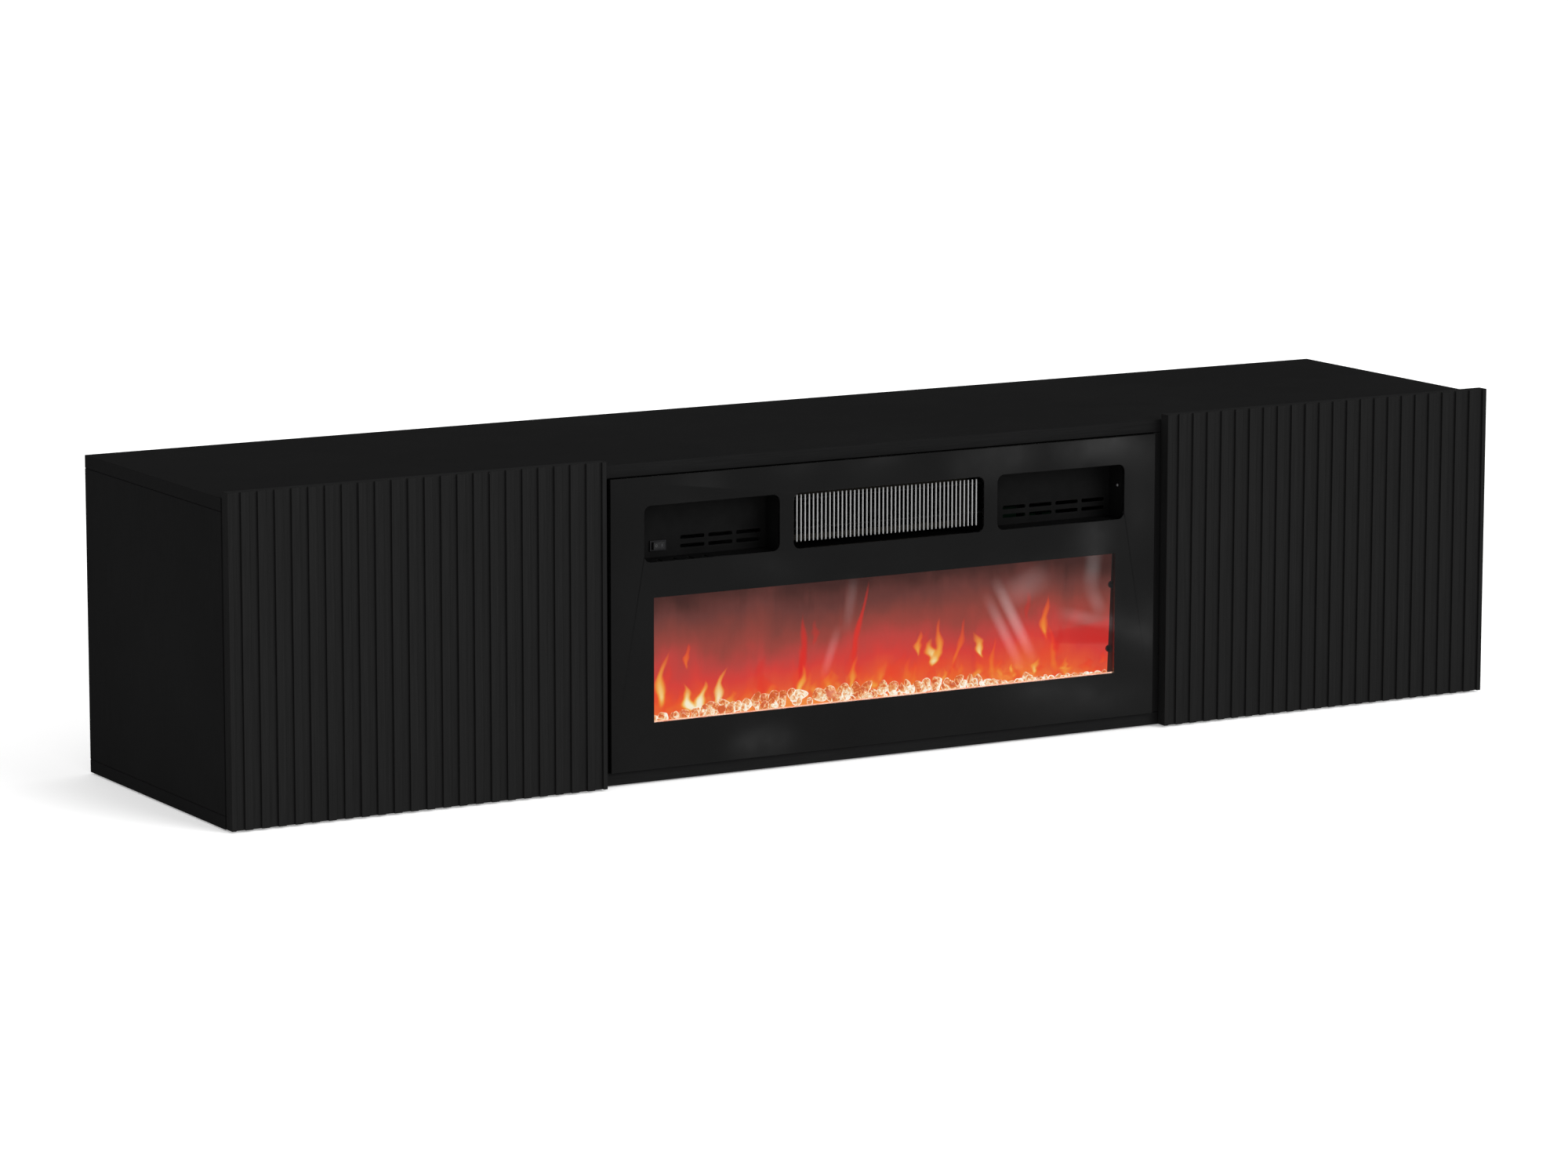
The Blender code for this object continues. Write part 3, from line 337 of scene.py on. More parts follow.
def extrude_plan(points, low, high):
    """An upright prism over a plan outline, as a bmesh."""
    bm = bmesh.new()
    face = bm.faces.new([bm.verts.new((x, y, low)) for x, y in points])
    extrude(bm, [face], (0, 0, high - low))
    return bm


# ---------------------------------------------------------------- camera, stage and light

CAMERA_PLACE = (-3.7566, -6.4300, 1.4585)
CAMERA_YAW, CAMERA_PITCH, CAMERA_ROLL = 30.035, 9.725, 0.057
LENS_MM, SENSOR_MM = 137.38, 36.0
NEAREST = 0.05
FLOOR_RADIUS, FLOOR_STEPS, FLOOR_LEVEL = 60.0, 96, -0.002
FLOOR_GLOW = 0.30
DIFFUSE_LEVEL = 0.85
REFLECTED_LEVEL = 0.20
KEY_DIRECTION = (0.45, -0.8, 0.4)
KEY_STRENGTH, KEY_SOFTNESS = 2.6, 40
WHITE = (1.0, 1.0, 1.0, 1.0)


def make_camera():
    """The photograph's point of view."""
    data = bpy.data.cameras.new("camera")
    data.lens = LENS_MM
    data.sensor_width = SENSOR_MM
    data.clip_start = NEAREST
    camera = bpy.data.objects.new("camera", data)
    aim = Matrix.Rotation(math.radians(-CAMERA_YAW), 4, "Z")
    tilt = Matrix.Rotation(math.radians(90 - CAMERA_PITCH), 4, "X")
    roll = Matrix.Rotation(math.radians(CAMERA_ROLL), 4, "Z")
    camera.matrix_world = Matrix.Translation(CAMERA_PLACE) @ aim @ tilt @ roll
    bpy.context.scene.collection.objects.link(camera)
    bpy.context.scene.camera = camera


def make_floor():
    """A plain pale floor, left out of reflections and of what the window's glass lets through."""
    look = Look("studio_floor", (0.93, 0.93, 0.93), 0.9, specular=0.0)
    look.vary_colour(look.noise((0.8,) * 3), (0.92,) * 3, (0.94,) * 3)
    look.set("Emission Color", WHITE)
    look.set("Emission Strength", FLOOR_GLOW)
    bm = bmesh.new()
    bmesh.ops.create_circle(bm, cap_ends=True, segments=FLOOR_STEPS, radius=FLOOR_RADIUS)
    bmesh.ops.translate(bm, verts=bm.verts, vec=(0, 0, FLOOR_LEVEL))
    floor = add_object(bm, "studio_floor", look)
    floor.visible_glossy = False
    floor.visible_transmission = False


def make_world():
    """A white surround, dimmer in reflections and through the glass."""
    world = bpy.data.worlds.new("studio")
    bpy.context.scene.world = world
    world.use_nodes = True
    nodes, links = world.node_tree.nodes, world.node_tree.links
    path = nodes.new("ShaderNodeLightPath")
    rays = {"Is Glossy Ray": REFLECTED_LEVEL, "Is Transmission Ray": REFLECTED_LEVEL, "Is Camera Ray": 1.0}
    level = None
    for ray, seen in rays.items():
        mix = nodes.new("ShaderNodeMix")
        mix.data_type = "FLOAT"
        mix.inputs["A"].default_value = DIFFUSE_LEVEL
        mix.inputs["B"].default_value = seen
        if level:
            links.new(level, mix.inputs["A"])
        links.new(path.outputs[ray], mix.inputs["Factor"])
        level = mix.outputs["Result"]
    nodes["Background"].inputs["Color"].default_value = WHITE
    links.new(level, nodes["Background"].inputs["Strength"])
    bpy.context.scene.view_settings.view_transform = "Standard"


def make_key_light():
    """Soft light from the front right, left out of reflections."""
    data = bpy.data.lights.new("key", "SUN")
    data.energy = KEY_STRENGTH
    data.angle = math.radians(KEY_SOFTNESS)
    light = bpy.data.objects.new("key", data)
    light.rotation_euler = Vector(KEY_DIRECTION).to_track_quat("Z", "Y").to_euler()
    light.visible_glossy = False
    bpy.context.scene.collection.objects.link(light)


# Soft lights seen only in the glass: the line from one place (x, z) to another that each follows, its
# width across that line, and its brightness.
REFLECTIONS = (
    ((0.152, 0.212), (0.214, 0.098), 0.020, 2.3),
    ((0.139, 0.194), (0.197, 0.087), 0.019, 1.6),
    ((0.160, 0.180), (0.238, 0.210), 0.046, 0.8),
    ((0.302, 0.284), (0.298, 0.220), 0.036, 1.0),
    ((0.303, 0.240), (0.295, 0.178), 0.030, 0.9),
    ((0.293, 0.192), (0.316, 0.146), 0.026, 0.8),
    ((0.243, 0.160), (0.330, 0.137), 0.022, 0.8),
    ((0.310, 0.148), (0.396, 0.108), 0.026, 0.8),
    ((-0.071, 0.172), (-0.096, 0.102), 0.016, 1.0),
    ((-0.049, 0.236), (-0.062, 0.156), 0.018, 0.6),
    ((-0.230, 0.032), (-0.134, 0.039), 0.024, 1.5),
    ((-0.270, 0.392), (-0.258, 0.325), 0.054, 0.45),
    ((-0.225, 0.272), (-0.120, 0.232), 0.040, 0.2),
    ((0.080, 0.352), (0.225, 0.372), 0.050, 0.70),
    ((0.230, 0.364), (0.370, 0.376), 0.040, 1.3),
    ((0.300, 0.350), (0.410, 0.358), 0.040, 0.45),
    ((-0.070, 0.366), (0.036, 0.380), 0.022, 0.35),
    ((-0.180, 0.372), (-0.090, 0.392), 0.036, 0.3),
    ((0.374, 0.370), (0.368, 0.220), 0.034, 0.4),
    ((0.384, 0.190), (0.380, 0.060), 0.034, 0.4),
    ((0.130, 0.064), (0.330, 0.056), 0.030, 0.45),
    ((0.200, 0.046), (0.420, 0.040), 0.044, 0.3),
)
GLOW = "glow"
CARD_STEPS, CARD_SPACING = 12, 0.02


def card_look():
    """Light added to what lies behind it, as strong as the GLOW attribute says."""
    look = Look("card_light", (0.0, 0.0, 0.0), 1.0)
    light = look.nodes.new("ShaderNodeEmission")
    clear = look.nodes.new("ShaderNodeBsdfTransparent")
    both = look.nodes.new("ShaderNodeAddShader")
    look.links.new(look.attribute(GLOW), light.inputs["Strength"])
    look.links.new(light.outputs[0], both.inputs[0])
    look.links.new(clear.outputs[0], both.inputs[1])
    look.links.new(both.outputs[0], look.nodes["Material Output"].inputs["Surface"])
    look.material.cycles.emission_sampling = "NONE"
    return look


def make_reflections():
    """Cards beyond the floor, which the glass alone mirrors towards the camera."""
    eye = Vector(CAMERA_PLACE)
    bm = bmesh.new()
    layer = bm.verts.layers.float.new(GLOW)
    shares = [2 * i / CARD_STEPS - 1 for i in range(CARD_STEPS + 1)]
    for index, (start, end, width, strength) in enumerate(REFLECTIONS):
        reach = 1.0 + CARD_SPACING * index
        first, last = (Vector((x, GLASS_LOW.y, z)) for x, z in (start, end))
        across = (last - first).cross(Vector((0.0, 1.0, 0.0))).normalized() * width / 2
        rows = []
        for v in shares:
            row = []
            for u in shares:
                ray = first.lerp(last, (v + 1) / 2) + across * u - eye
                vert = bm.verts.new(eye + ray + Vector((ray.x, -ray.y, ray.z)) * reach)
                vert[layer] = strength * ((1 - u * u) * (1 - v * v)) ** 1.5
                row.append(vert)
            rows.append(row)
        skin(bm, rows, closed=False)
    cards = add_object(bm, "reflection_cards", card_look())
    cards.visible_camera = False
    cards.visible_diffuse = False
    cards.visible_shadow = False


# ---------------------------------------------------------------- cabinet and doors

PANEL_LEVEL = 0.0080
RIB_LEVEL = 0.0096


def dress_cabinet():
    """Laminate on the boards, with its grain along each, and hardboard at the back."""
    dress(laminate("laminate_along_width", PANEL_LEVEL, "X"), "top_panel", "bottom_panel")
    upright = laminate("laminate_upright", PANEL_LEVEL, "Z")
    dress(upright, *(f"{side}_{part}" for side in SIDES for part in ("side_panel", "partition")))
    board = Look("hardboard_black", (0.012,) * 3, 0.6, specular=0.2)
    fibres = board.noise((220.0,) * 3, detail=6.0, distortion=1.5)
    board.vary_colour(fibres, (0.009,) * 3, (0.017,) * 3).bump(fibres, 0.00015)
    dress(board, "left_back_panel", "right_back_panel")


RIB_PITCH, GROOVE_WIDTH, GROOVE_DEPTH, GROOVES = 0.02155, 0.01105, 0.003, 23
RIB_BEVEL = 0.0006
BORE_RADIUS, BORE_STEPS, BORE_SLACK = 0.0175, 64, 0.0003


def make_door(side):
    """The ribbed door with softened edges, bored at the back for its hinge cups."""
    low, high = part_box(f"{side}_door")
    end_rib = (high.x - low.x - (GROOVES - 1) * RIB_PITCH - GROOVE_WIDTH) / 2
    points = [(low.x, low.y), (low.x, high.y), (high.x, high.y), (high.x, low.y)]
    floor = low.y + GROOVE_DEPTH
    for i in reversed(range(GROOVES)):
        left = low.x + end_rib + i * RIB_PITCH
        right = left + GROOVE_WIDTH
        points += [(right, low.y), (right, floor), (left, floor), (left, low.y)]
    solid = extrude_plan(points, low.z, high.z)
    door = finish_mesh(solid, f"{side}_ribbed_door", LOOKS["ribbed_film"], f"{side}_door", bevel=RIB_BEVEL)
    for end in ENDS:
        bore_cup(door, f"{side}_hinge_cup_{end}", high.y)
    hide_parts(f"{side}_door")


def bore_cup(door, cup, back):
    """Cuts a hinge cup's round hole into the door's back, before its edges are softened."""
    low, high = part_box(cup)
    centre = (low + high) / 2
    place = Matrix.Translation((centre.x, back, centre.z)) @ Matrix.Rotation(math.pi / 2, 4, "X")
    size = dict(segments=BORE_STEPS, radius1=BORE_RADIUS, radius2=BORE_RADIUS)
    bm = bmesh.new()
    bmesh.ops.create_cone(bm, cap_ends=True, depth=2 * (back - low.y + BORE_SLACK), matrix=place, **size)
    cutter = add_object(bm, "cutter")
    modifier = door.modifiers.new("bore", "BOOLEAN")
    modifier.object = cutter
    modifier.solver = "EXACT"
    bpy.ops.object.select_all(action="DESELECT")
    bpy.context.view_layer.objects.active = door
    bpy.ops.object.modifier_move_to_index(modifier="bore", index=0)
    bpy.ops.object.modifier_apply(modifier="bore")
    bpy.data.objects.remove(cutter, do_unlink=True)


# ---------------------------------------------------------------- glass

GLASS_BEVEL, SHARP_ANGLE = 0.0007, 0.7
PANE_GAP, TOUCH = 0.00002, 1e-5


def at_window(vert):
    """Whether a point of the border lies on the window's outline."""
    level = WINDOW_BOTTOM - TOUCH < vert.co.z < WINDOW_TOP + TOUCH
    return level and abs(vert.co.x) < WINDOW_HALF + TOUCH


def make_glass():
    """The printed border, black through and through, and the clear window flush with it."""
    low, high = GLASS_LOW, GLASS_HIGH
    outline = [(low.x, low.z), (high.x, low.z), (high.x, high.z), (low.x, high.z)]
    holes = [rounded_rectangle((a, CUTOUT_BOTTOM), (b, CUTOUT_TOP), CUTOUT_RADIUS) for a, b in CUTOUTS]
    window = [(-WINDOW_HALF, WINDOW_BOTTOM), (WINDOW_HALF, WINDOW_BOTTOM)]
    window += [(WINDOW_HALF, WINDOW_TOP), (-WINDOW_HALF, WINDOW_TOP)]
    bm = sheet_with_holes(outline, [*holes, window], low.y, high.y)
    weights = bm.edges.layers.float.new("bevel_weight_edge")
    for edge in bm.edges:
        kept = all(at_window(vert) for vert in edge.verts) or edge.calc_face_angle(0.0) < SHARP_ANGLE
        edge[weights] = 0.0 if kept else 1.0
    border = finish_mesh(bm, "glass_border", LOOKS["enamel"], "cabinet", bevel=GLASS_BEVEL)
    border.modifiers["edges"].limit_method = "WEIGHT"
    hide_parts("front_glass")
    inner = [(x - math.copysign(PANE_GAP, x), z + (PANE_GAP if z == WINDOW_BOTTOM else -PANE_GAP))
             for x, z in window]
    sheet = sheet_with_holes(inner, [], low.y, high.y)
    pane = finish_mesh(sheet, "glass_window", LOOKS["clear_glass"], "cabinet")
    pane.data.materials.append(LOOKS["enamel"].material)
    for face in pane.data.polygons:
        face.material_index = 0 if abs(face.normal.y) > 0.5 else 1


# ---------------------------------------------------------------- outlet and insert

BARS, BAR_PITCH, BAR_RADIUS, BAR_SIDES = 45, 0.00586, 0.00095, 12
WIRE_HEIGHTS, WIRE_RADIUS, WIRE_SIDES, WIRE_SETBACK = (0.2945, 0.3310), 0.0013, 16, 3.1 * BAR_RADIUS


def capsule(bm, x, y, low, high):
    """An upright bar with round ends."""
    radius, angles = BAR_RADIUS, circle_angles(BAR_SIDES)
    turns = [i * math.pi / 8 for i in range(1, 5)]
    levels = [(low + radius - radius * math.cos(t), radius * math.sin(t)) for t in turns]
    levels += [(low + high - z, r) for z, r in reversed(levels)]
    loops = []
    for z, r in levels:
        loops.append([bm.verts.new((x + r * math.cos(a), y + r * math.sin(a), z)) for a in angles])
    skin(bm, loops)
    for loop, end in ((loops[0], low), (loops[-1], high)):
        tip = bm.verts.new((x, y, end))
        for i in range(BAR_SIDES):
            bm.faces.new((loop[i], loop[(i + 1) % BAR_SIDES], tip))


def make_outlet_bars():
    """A row of round-ended bars on two cross wires."""
    low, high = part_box("outlet_grille")
    bm = bmesh.new()
    for i in range(BARS):
        capsule(bm, (i - (BARS - 1) / 2) * BAR_PITCH, low.y + BAR_RADIUS, low.z, high.z)
    piece = finish_mesh(bm, "outlet_bars", LOOKS["bar_steel"], "cabinet")
    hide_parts("outlet_grille")
    wires = bmesh.new()
    turn = Matrix.Rotation(math.pi / 2, 4, "Y")
    size = dict(segments=WIRE_SIDES, radius1=WIRE_RADIUS, radius2=WIRE_RADIUS, depth=high.x - low.x)
    for height in WIRE_HEIGHTS:
        place = Matrix.Translation((0, low.y + WIRE_SETBACK, height)) @ turn
        bmesh.ops.create_cone(wires, cap_ends=True, matrix=place, **size)
    rails = finish_mesh(wires, "outlet_wires", LOOKS["dull_steel"], "cabinet")


# The insert's CAD pieces by the look that each takes.
INSERT_LOOKS = {
    "recess_paint": ("left_recess_box", "right_recess_box"),
    "liner_paint": ("firebox_liner",),
    "case_paint": ("housing_floor", "housing_top", "housing_left_side", "housing_right_side", "mid_deck"),
    # Duct: black paint darkened further as painted shade inside the outlet.
    "duct_black_and_painted_shade": ("fan_duct",),
    "black_plastic_look": ("switch_body", "cord_gland"),
    "rocker_plastic_look": ("power_rocker",),
    # Rear cover zinc, darkened as painted shade for its inside seen through the slots.
    "zinc_painted_shade": ("rear_cover",),
    "screw_steel": ("recess_screw",),
    # Fan wheel aluminium, darkened as painted shade inside the duct.
    "fan_aluminium_painted_shade": ("fan_wheel",),
    # Motor steel, darkened as painted shade for the motors seen through the slots.
    "motor_steel_painted_shade": ("fan_motor", "spinner_motor"),
    "bronze_look": ("fan_bush",),
    "nylon_look": ("spinner_bush",),
    # Heater frame mica, darkened as painted shade behind the outlet bars.
    "mica_painted_shade": ("heater_frame",),
    # Heating ribbon, darkened as painted shade behind the outlet bars.
    "ribbon_painted_shade": ("heating_element",),
    # Control board, its green darkened as painted shade behind the slots.
    "board_green_painted_shade": ("control_board",),
    "board_white": ("ember_lamp_strip", "flame_lamp_strip"),
    "foil_look": ("flame_spinner",),
}


def dress_insert():
    """Finished materials for the insert's CAD pieces and for the small metal and rubber ones."""
    for look, names in INSERT_LOOKS.items():
        dress(LOOKS[look], *names)
    for side in SIDES:
        dress(LOOKS["zinc_sheet"], f"{side}_insert_bracket", f"{side}_wall_hanger")
        for end in ENDS:
            dress(LOOKS["black_plastic_look"], f"screen_clip_{side}_{end}")
            dress(LOOKS["hinge_steel"], f"{side}_hinge_cup_{end}", f"{side}_hinge_arm_{end}")
            dress(LOOKS["clear_rubber_look"], f"{side}_bumper_{end}")


# ---------------------------------------------------------------- fire


def screen_front(z):
    """Where the slanted screen's front face is at a height."""
    share = (z - SCREEN_LOW.z) / (SCREEN_HIGH.z - SCREEN_LOW.z)
    bottom, top = SCREEN_HIGH.y - SCREEN_SLAB, SCREEN_LOW.y
    return bottom + share * (top - bottom)


# Each flame on the screen, in metres: foot (x, z), tip (x, z), width, share of its height where it is
# widest, sideways bow, warmth from 0 (red) to 1 (white), and how solid it is. Later ones lie over earlier.
FLAMES = (
    ((0.058, 0.080), (0.070, 0.150), 0.052, 0.35, 0.000, 0.34, 0.6),
    ((0.018, 0.078), (0.030, 0.130), 0.034, 0.35, 0.000, 0.32, 0.6),
    ((0.155, 0.078), (0.146, 0.132), 0.040, 0.35, 0.000, 0.34, 0.5),
    ((0.246, 0.078), (0.242, 0.152), 0.034, 0.35, 0.000, 0.34, 0.6),
    ((-0.118, 0.080), (-0.115, 0.152), 0.022, 0.35, 0.000, 0.28, 0.7),
    ((-0.048, 0.082), (-0.034, 0.152), 0.022, 0.35, 0.000, 0.26, 0.6),
    ((-0.262, 0.072), (-0.262, 0.118), 0.056, 0.30, 0.000, 0.50, 0.7),
    ((-0.312, 0.078), (-0.306, 0.142), 0.034, 0.35, 0.000, 0.34, 0.6),
    ((-0.313, 0.084), (-0.303, 0.162), 0.016, 0.28, -0.004, 0.90, 1.0),
    ((-0.278, 0.130), (-0.276, 0.168), 0.009, 0.45, 0.000, 0.50, 0.9),
    ((-0.262, 0.074), (-0.282, 0.118), 0.020, 0.18, -0.003, 1.25, 1.0),
    ((-0.264, 0.074), (-0.253, 0.119), 0.018, 0.18, 0.005, 1.25, 1.0),
    ((-0.236, 0.080), (-0.220, 0.134), 0.015, 0.25, -0.002, 1.05, 1.0),
    ((-0.173, 0.082), (-0.170, 0.144), 0.024, 0.30, 0.000, 0.10, 0.5),
    ((-0.116, 0.094), (-0.114, 0.192), 0.012, 0.50, 0.001, 0.10, 0.95),
    ((-0.119, 0.080), (-0.112, 0.126), 0.013, 0.35, 0.002, 0.85, 1.0),
    ((-0.098, 0.144), (-0.097, 0.180), 0.011, 0.50, 0.000, 0.08, 0.4),
    ((-0.077, 0.084), (-0.072, 0.116), 0.016, 0.30, -0.001, 0.62, 0.9),
    ((-0.042, 0.106), (-0.020, 0.228), 0.010, 0.30, -0.003, 0.14, 0.85),
    ((-0.048, 0.080), (-0.035, 0.132), 0.012, 0.40, 0.001, 0.72, 0.95),
    ((0.030, 0.078), (0.043, 0.124), 0.017, 0.25, 0.001, 0.52, 0.85),
    ((0.053, 0.076), (0.046, 0.120), 0.011, 0.25, -0.001, 0.48, 0.8),
    ((0.014, 0.080), (0.015, 0.106), 0.010, 0.30, 0.000, 0.45, 0.7),
    ((0.051, 0.117), (0.054, 0.154), 0.012, 0.42, 0.001, 0.72, 0.95),
    ((0.076, 0.102), (0.070, 0.141), 0.021, 0.45, -0.001, 1.15, 1.0),
    ((0.076, 0.104), (0.081, 0.168), 0.015, 0.25, 0.004, 0.72, 1.0),
    ((0.104, 0.098), (0.121, 0.166), 0.010, 0.45, 0.001, 0.50, 0.85),
    ((0.149, 0.106), (0.134, 0.144), 0.015, 0.60, -0.001, 0.95, 1.0),
    ((0.160, 0.078), (0.164, 0.138), 0.012, 0.15, 0.001, 0.55, 0.85),
    ((0.190, 0.083), (0.191, 0.099), 0.006, 0.50, 0.000, 0.85, 0.9),
    ((0.222, 0.078), (0.230, 0.102), 0.013, 0.60, 0.001, 0.90, 0.95),
    ((0.258, 0.074), (0.241, 0.150), 0.013, 0.20, 0.002, 0.50, 0.85),
    ((0.240, 0.120), (0.242, 0.184), 0.013, 0.42, -0.003, 0.62, 1.0),
    ((0.211, 0.148), (0.212, 0.192), 0.009, 0.50, 0.000, 0.08, 0.4),
    ((0.258, 0.102), (0.262, 0.142), 0.015, 0.35, 0.000, 0.08, 0.6),
    ((0.332, 0.102), (0.332, 0.150), 0.160, 0.45, 0.000, 0.02, 0.85),
)
LOW_FLAMES, LOW_RIGHT = 110, 0.19
LOW_FLAME = dict(x=(-0.328, 0.328), foot=(0.066, 0.082), height=(0.014, 0.046), lean=(-0.005, 0.009),
                 width=(0.008, 0.024), bow=(-0.003, 0.003), belly=(0.2, 0.45), warmth=(0.3, 0.75),
                 solid=(0.35, 0.9))
# A flame's sway and ripple: how strong, how quick along its height, and how much its place shifts them.
SWAY, RIPPLE = (0.16, 8.0, 400.0), (0.20, 17.0, 900.0)
# Half a flame's width as a share of the listed one, the least that it may be, and where it starts to fade.
FULLNESS, THINNEST, THIN = 0.56, 0.0004, 0.002
WARMTH, COVER, TONE = "warmth", "cover", "tone"


def wave(kind, up, place, size=1.0):
    strength, pace, shift = kind
    return strength * size * math.sin(pace * up + shift * place)


def flame_level(x, z, flame):
    """How solid and how warm a flame is at a place on the screen."""
    foot, tip, width, belly, bow, warmth, solid = flame
    up = (z - foot[1]) / (tip[1] - foot[1])
    if not 0.0 < up < 1.0:
        return 0.0, 0.0
    centre = foot[0] + (tip[0] - foot[0]) * up + bow * math.sin(math.pi * up)
    centre += wave(SWAY, up, foot[0], width)
    swell = (up / belly) ** 0.6 if up < belly else ((1.0 - up) / (1.0 - belly)) ** 0.9
    half = max(FULLNESS * width * swell * (1.0 + wave(RIPPLE, up, foot[0])), THINNEST)
    across = (x - centre) / half
    if abs(across) >= 1.0:
        return 0.0, 0.0
    core = 1.0 - across * across
    fade = min(1.0, up / 0.2) * (1.0 - up ** 3) * min(1.0, half / THIN)
    return solid * fade * core ** 0.85, warmth * (0.6 + 0.4 * core) * (1.0 - 0.62 * up ** 1.3)


def flames_at(x, z, flames):
    """How warm and how solid the flames are together at a place on the screen."""
    warmth, cover = 0.0, 0.0
    for flame in flames:
        solid, warm = flame_level(x, z, flame)
        if solid > 0.0:
            joint = solid + cover * (1.0 - solid)
            warmth = (warm * solid + warmth * cover * (1.0 - solid)) / joint
            cover = joint
    return min(1.0, warmth), cover


def all_flames():
    """Small flames thrown along the crystals, and the listed ones over them."""
    flames = []
    for _ in range(LOW_FLAMES):
        draw = {name: random.uniform(*limits) for name, limits in LOW_FLAME.items()}
        foot = (draw["x"], draw["foot"])
        height = draw["height"] * (0.5 if foot[0] > LOW_RIGHT else 1.0)
        tip = (foot[0] + draw["lean"], foot[1] + height)
        flames.append((foot, tip, *(draw[name] for name in ("width", "belly", "bow", "warmth", "solid"))))
    return [*flames, *FLAMES]


def screen_look():
    """The frosted screen's light: grey-brown above, red below, with the flames over it."""
    look = Look("screen_glow", (0.002, 0.001, 0.001), 0.6, specular=0.0)
    height = look.remap(look.axis("Z"), WINDOW_BOTTOM, WINDOW_TOP, 0.0, 1.0)
    wide = look.noise((7.0, 1.0, 9.0), detail=3.0)
    narrow = look.noise((26.0, 1.0, 12.0), detail=4.0, distortion=0.6)
    threads = look.noise((700.0, 1.0, 6.0), detail=1.0)
    level = look.add(height, wide, 0.3, 0.7, -0.09, 0.09)
    level = look.add(level, narrow, 0.3, 0.7, -0.05, 0.05)
    level = look.add(level, threads, 0.3, 0.7, -0.012, 0.012)
    level = look.add(level, look.axis("X"), 0.24, 0.32, 0.0, 0.10)
    glow_stops = (
        (0.00, srgb(246, 138, 58)),
        (0.09, srgb(236, 98, 48)),
        (0.18, srgb(229, 80, 47)),
        (0.31, srgb(217, 60, 52)),
        (0.43, srgb(190, 64, 58)),
        (0.56, srgb(154, 64, 55)),
        (0.69, srgb(128, 60, 52)),
        (0.82, srgb(104, 53, 48)),
        (0.95, srgb(74, 36, 31)),
        (1.00, srgb(62, 28, 24)),
    )
    flame_stops = (
        (0.0, srgb(200, 22, 20)),
        (0.10, srgb(226, 40, 30)),
        (0.25, srgb(236, 66, 34)),
        (0.45, srgb(240, 112, 38)),
        (0.65, srgb(244, 168, 66)),
        (0.85, srgb(248, 216, 144)),
        (1.0, srgb(252, 242, 214)),
    )
    flames = look.ramp(look.attribute(WARMTH), flame_stops)
    return look.glow(look.blend(look.attribute(COVER), look.ramp(level, glow_stops), flames))


SCREEN_COLUMNS, SCREEN_ROWS = 440, 130


def make_screen():
    """The screen as one closed slab; each point of its front holds the flames' warmth and cover there."""
    low, high = SCREEN_LOW, SCREEN_HIGH
    bm = bmesh.new()
    for name in (WARMTH, COVER):
        bm.verts.layers.float.new(name)
    warmth_layer, cover_layer = (bm.verts.layers.float[name] for name in (WARMTH, COVER))
    flames = all_flames()
    grid = []
    for row in range(SCREEN_ROWS + 1):
        z = low.z + (high.z - low.z) * row / SCREEN_ROWS
        near = [flame for flame in flames if flame[0][1] < z < flame[1][1]]
        line = []
        for column in range(SCREEN_COLUMNS + 1):
            x = low.x + (high.x - low.x) * column / SCREEN_COLUMNS
            vert = bm.verts.new((x, screen_front(z), z))
            vert[warmth_layer], vert[cover_layer] = flames_at(x, z, near)
            line.append(vert)
        grid.append(line)
    skin(bm, grid, closed=False)
    corners = [(x, screen_front(z) + SCREEN_SLAB, z) for z in (low.z, high.z) for x in (low.x, high.x)]
    rear = [bm.verts.new(corner) for corner in corners]
    bm.faces.new((rear[0], rear[1], rear[3], rear[2]))
    bm.faces.new((*grid[0], rear[1], rear[0]))
    bm.faces.new((*grid[-1], rear[3], rear[2]))
    bm.faces.new((*(line[0] for line in grid), rear[2], rear[0]))
    bm.faces.new((*(line[-1] for line in grid), rear[3], rear[1]))
    screen = finish_mesh(bm, "lit_screen", screen_look(), "cabinet")
    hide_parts("flame_screen")


def crystal_look():
    """Glass lumps lit from below: white-hot rims, veins and feet, amber in the middle."""
    look = Look("lit_crystal", (0.03, 0.02, 0.01), 0.2, specular=0.2)
    facing = look.nodes.new("ShaderNodeLayerWeight")
    facing.inputs["Blend"].default_value = 0.5
    veins = look.noise((170.0,) * 3, detail=3.0, distortion=1.5)
    patches = look.noise((55.0,) * 3, detail=1.0)
    level = look.maths("MULTIPLY", facing.outputs["Facing"], 1.15)
    level = look.add(level, veins, 0.35, 0.65, -0.34, 0.34)
    level = look.add(level, patches, 0.35, 0.65, -0.24, 0.24)
    level = look.add(level, look.axis("Z"), 0.076, 0.094, 0.30, -0.06)
    level = look.maths("ADD", level, look.attribute(TONE))
    stops = (
        (0.0, srgb(210, 88, 36)),
        (0.18, srgb(226, 122, 58)),
        (0.38, srgb(236, 166, 106)),
        (0.56, srgb(244, 206, 164)),
        (0.76, srgb(252, 236, 212)),
        (1.0, srgb(255, 251, 240)),
    )
    return look.glow(look.ramp(level, stops))


# The heap of crystals: places (x) along it and how high its top is there (z), in metres.
HEAP = (
    (-0.335, 0.081), (-0.292, 0.088), (-0.225, 0.095), (-0.140, 0.096), (-0.053, 0.097), (0.024, 0.097),
    (0.066, 0.091), (0.136, 0.090), (0.165, 0.081), (0.196, 0.079), (0.208, 0.088), (0.222, 0.079),
    (0.335, 0.078),
)
TOP_START, TOP_END = -0.322, 0.329
FILL_LUMPS, FILL_REACH = 80, 0.327
LUMP_POINTS, LUMP_SPREAD = 13, 1.12


def heap_top(x):
    """How high the heap of crystals reaches at a place along it."""
    for (x0, z0), (x1, z1) in zip(HEAP, HEAP[1:]):
        if x <= x1:
            return z0 + (z1 - z0) * (x - x0) / (x1 - x0)
    return HEAP[-1][1]


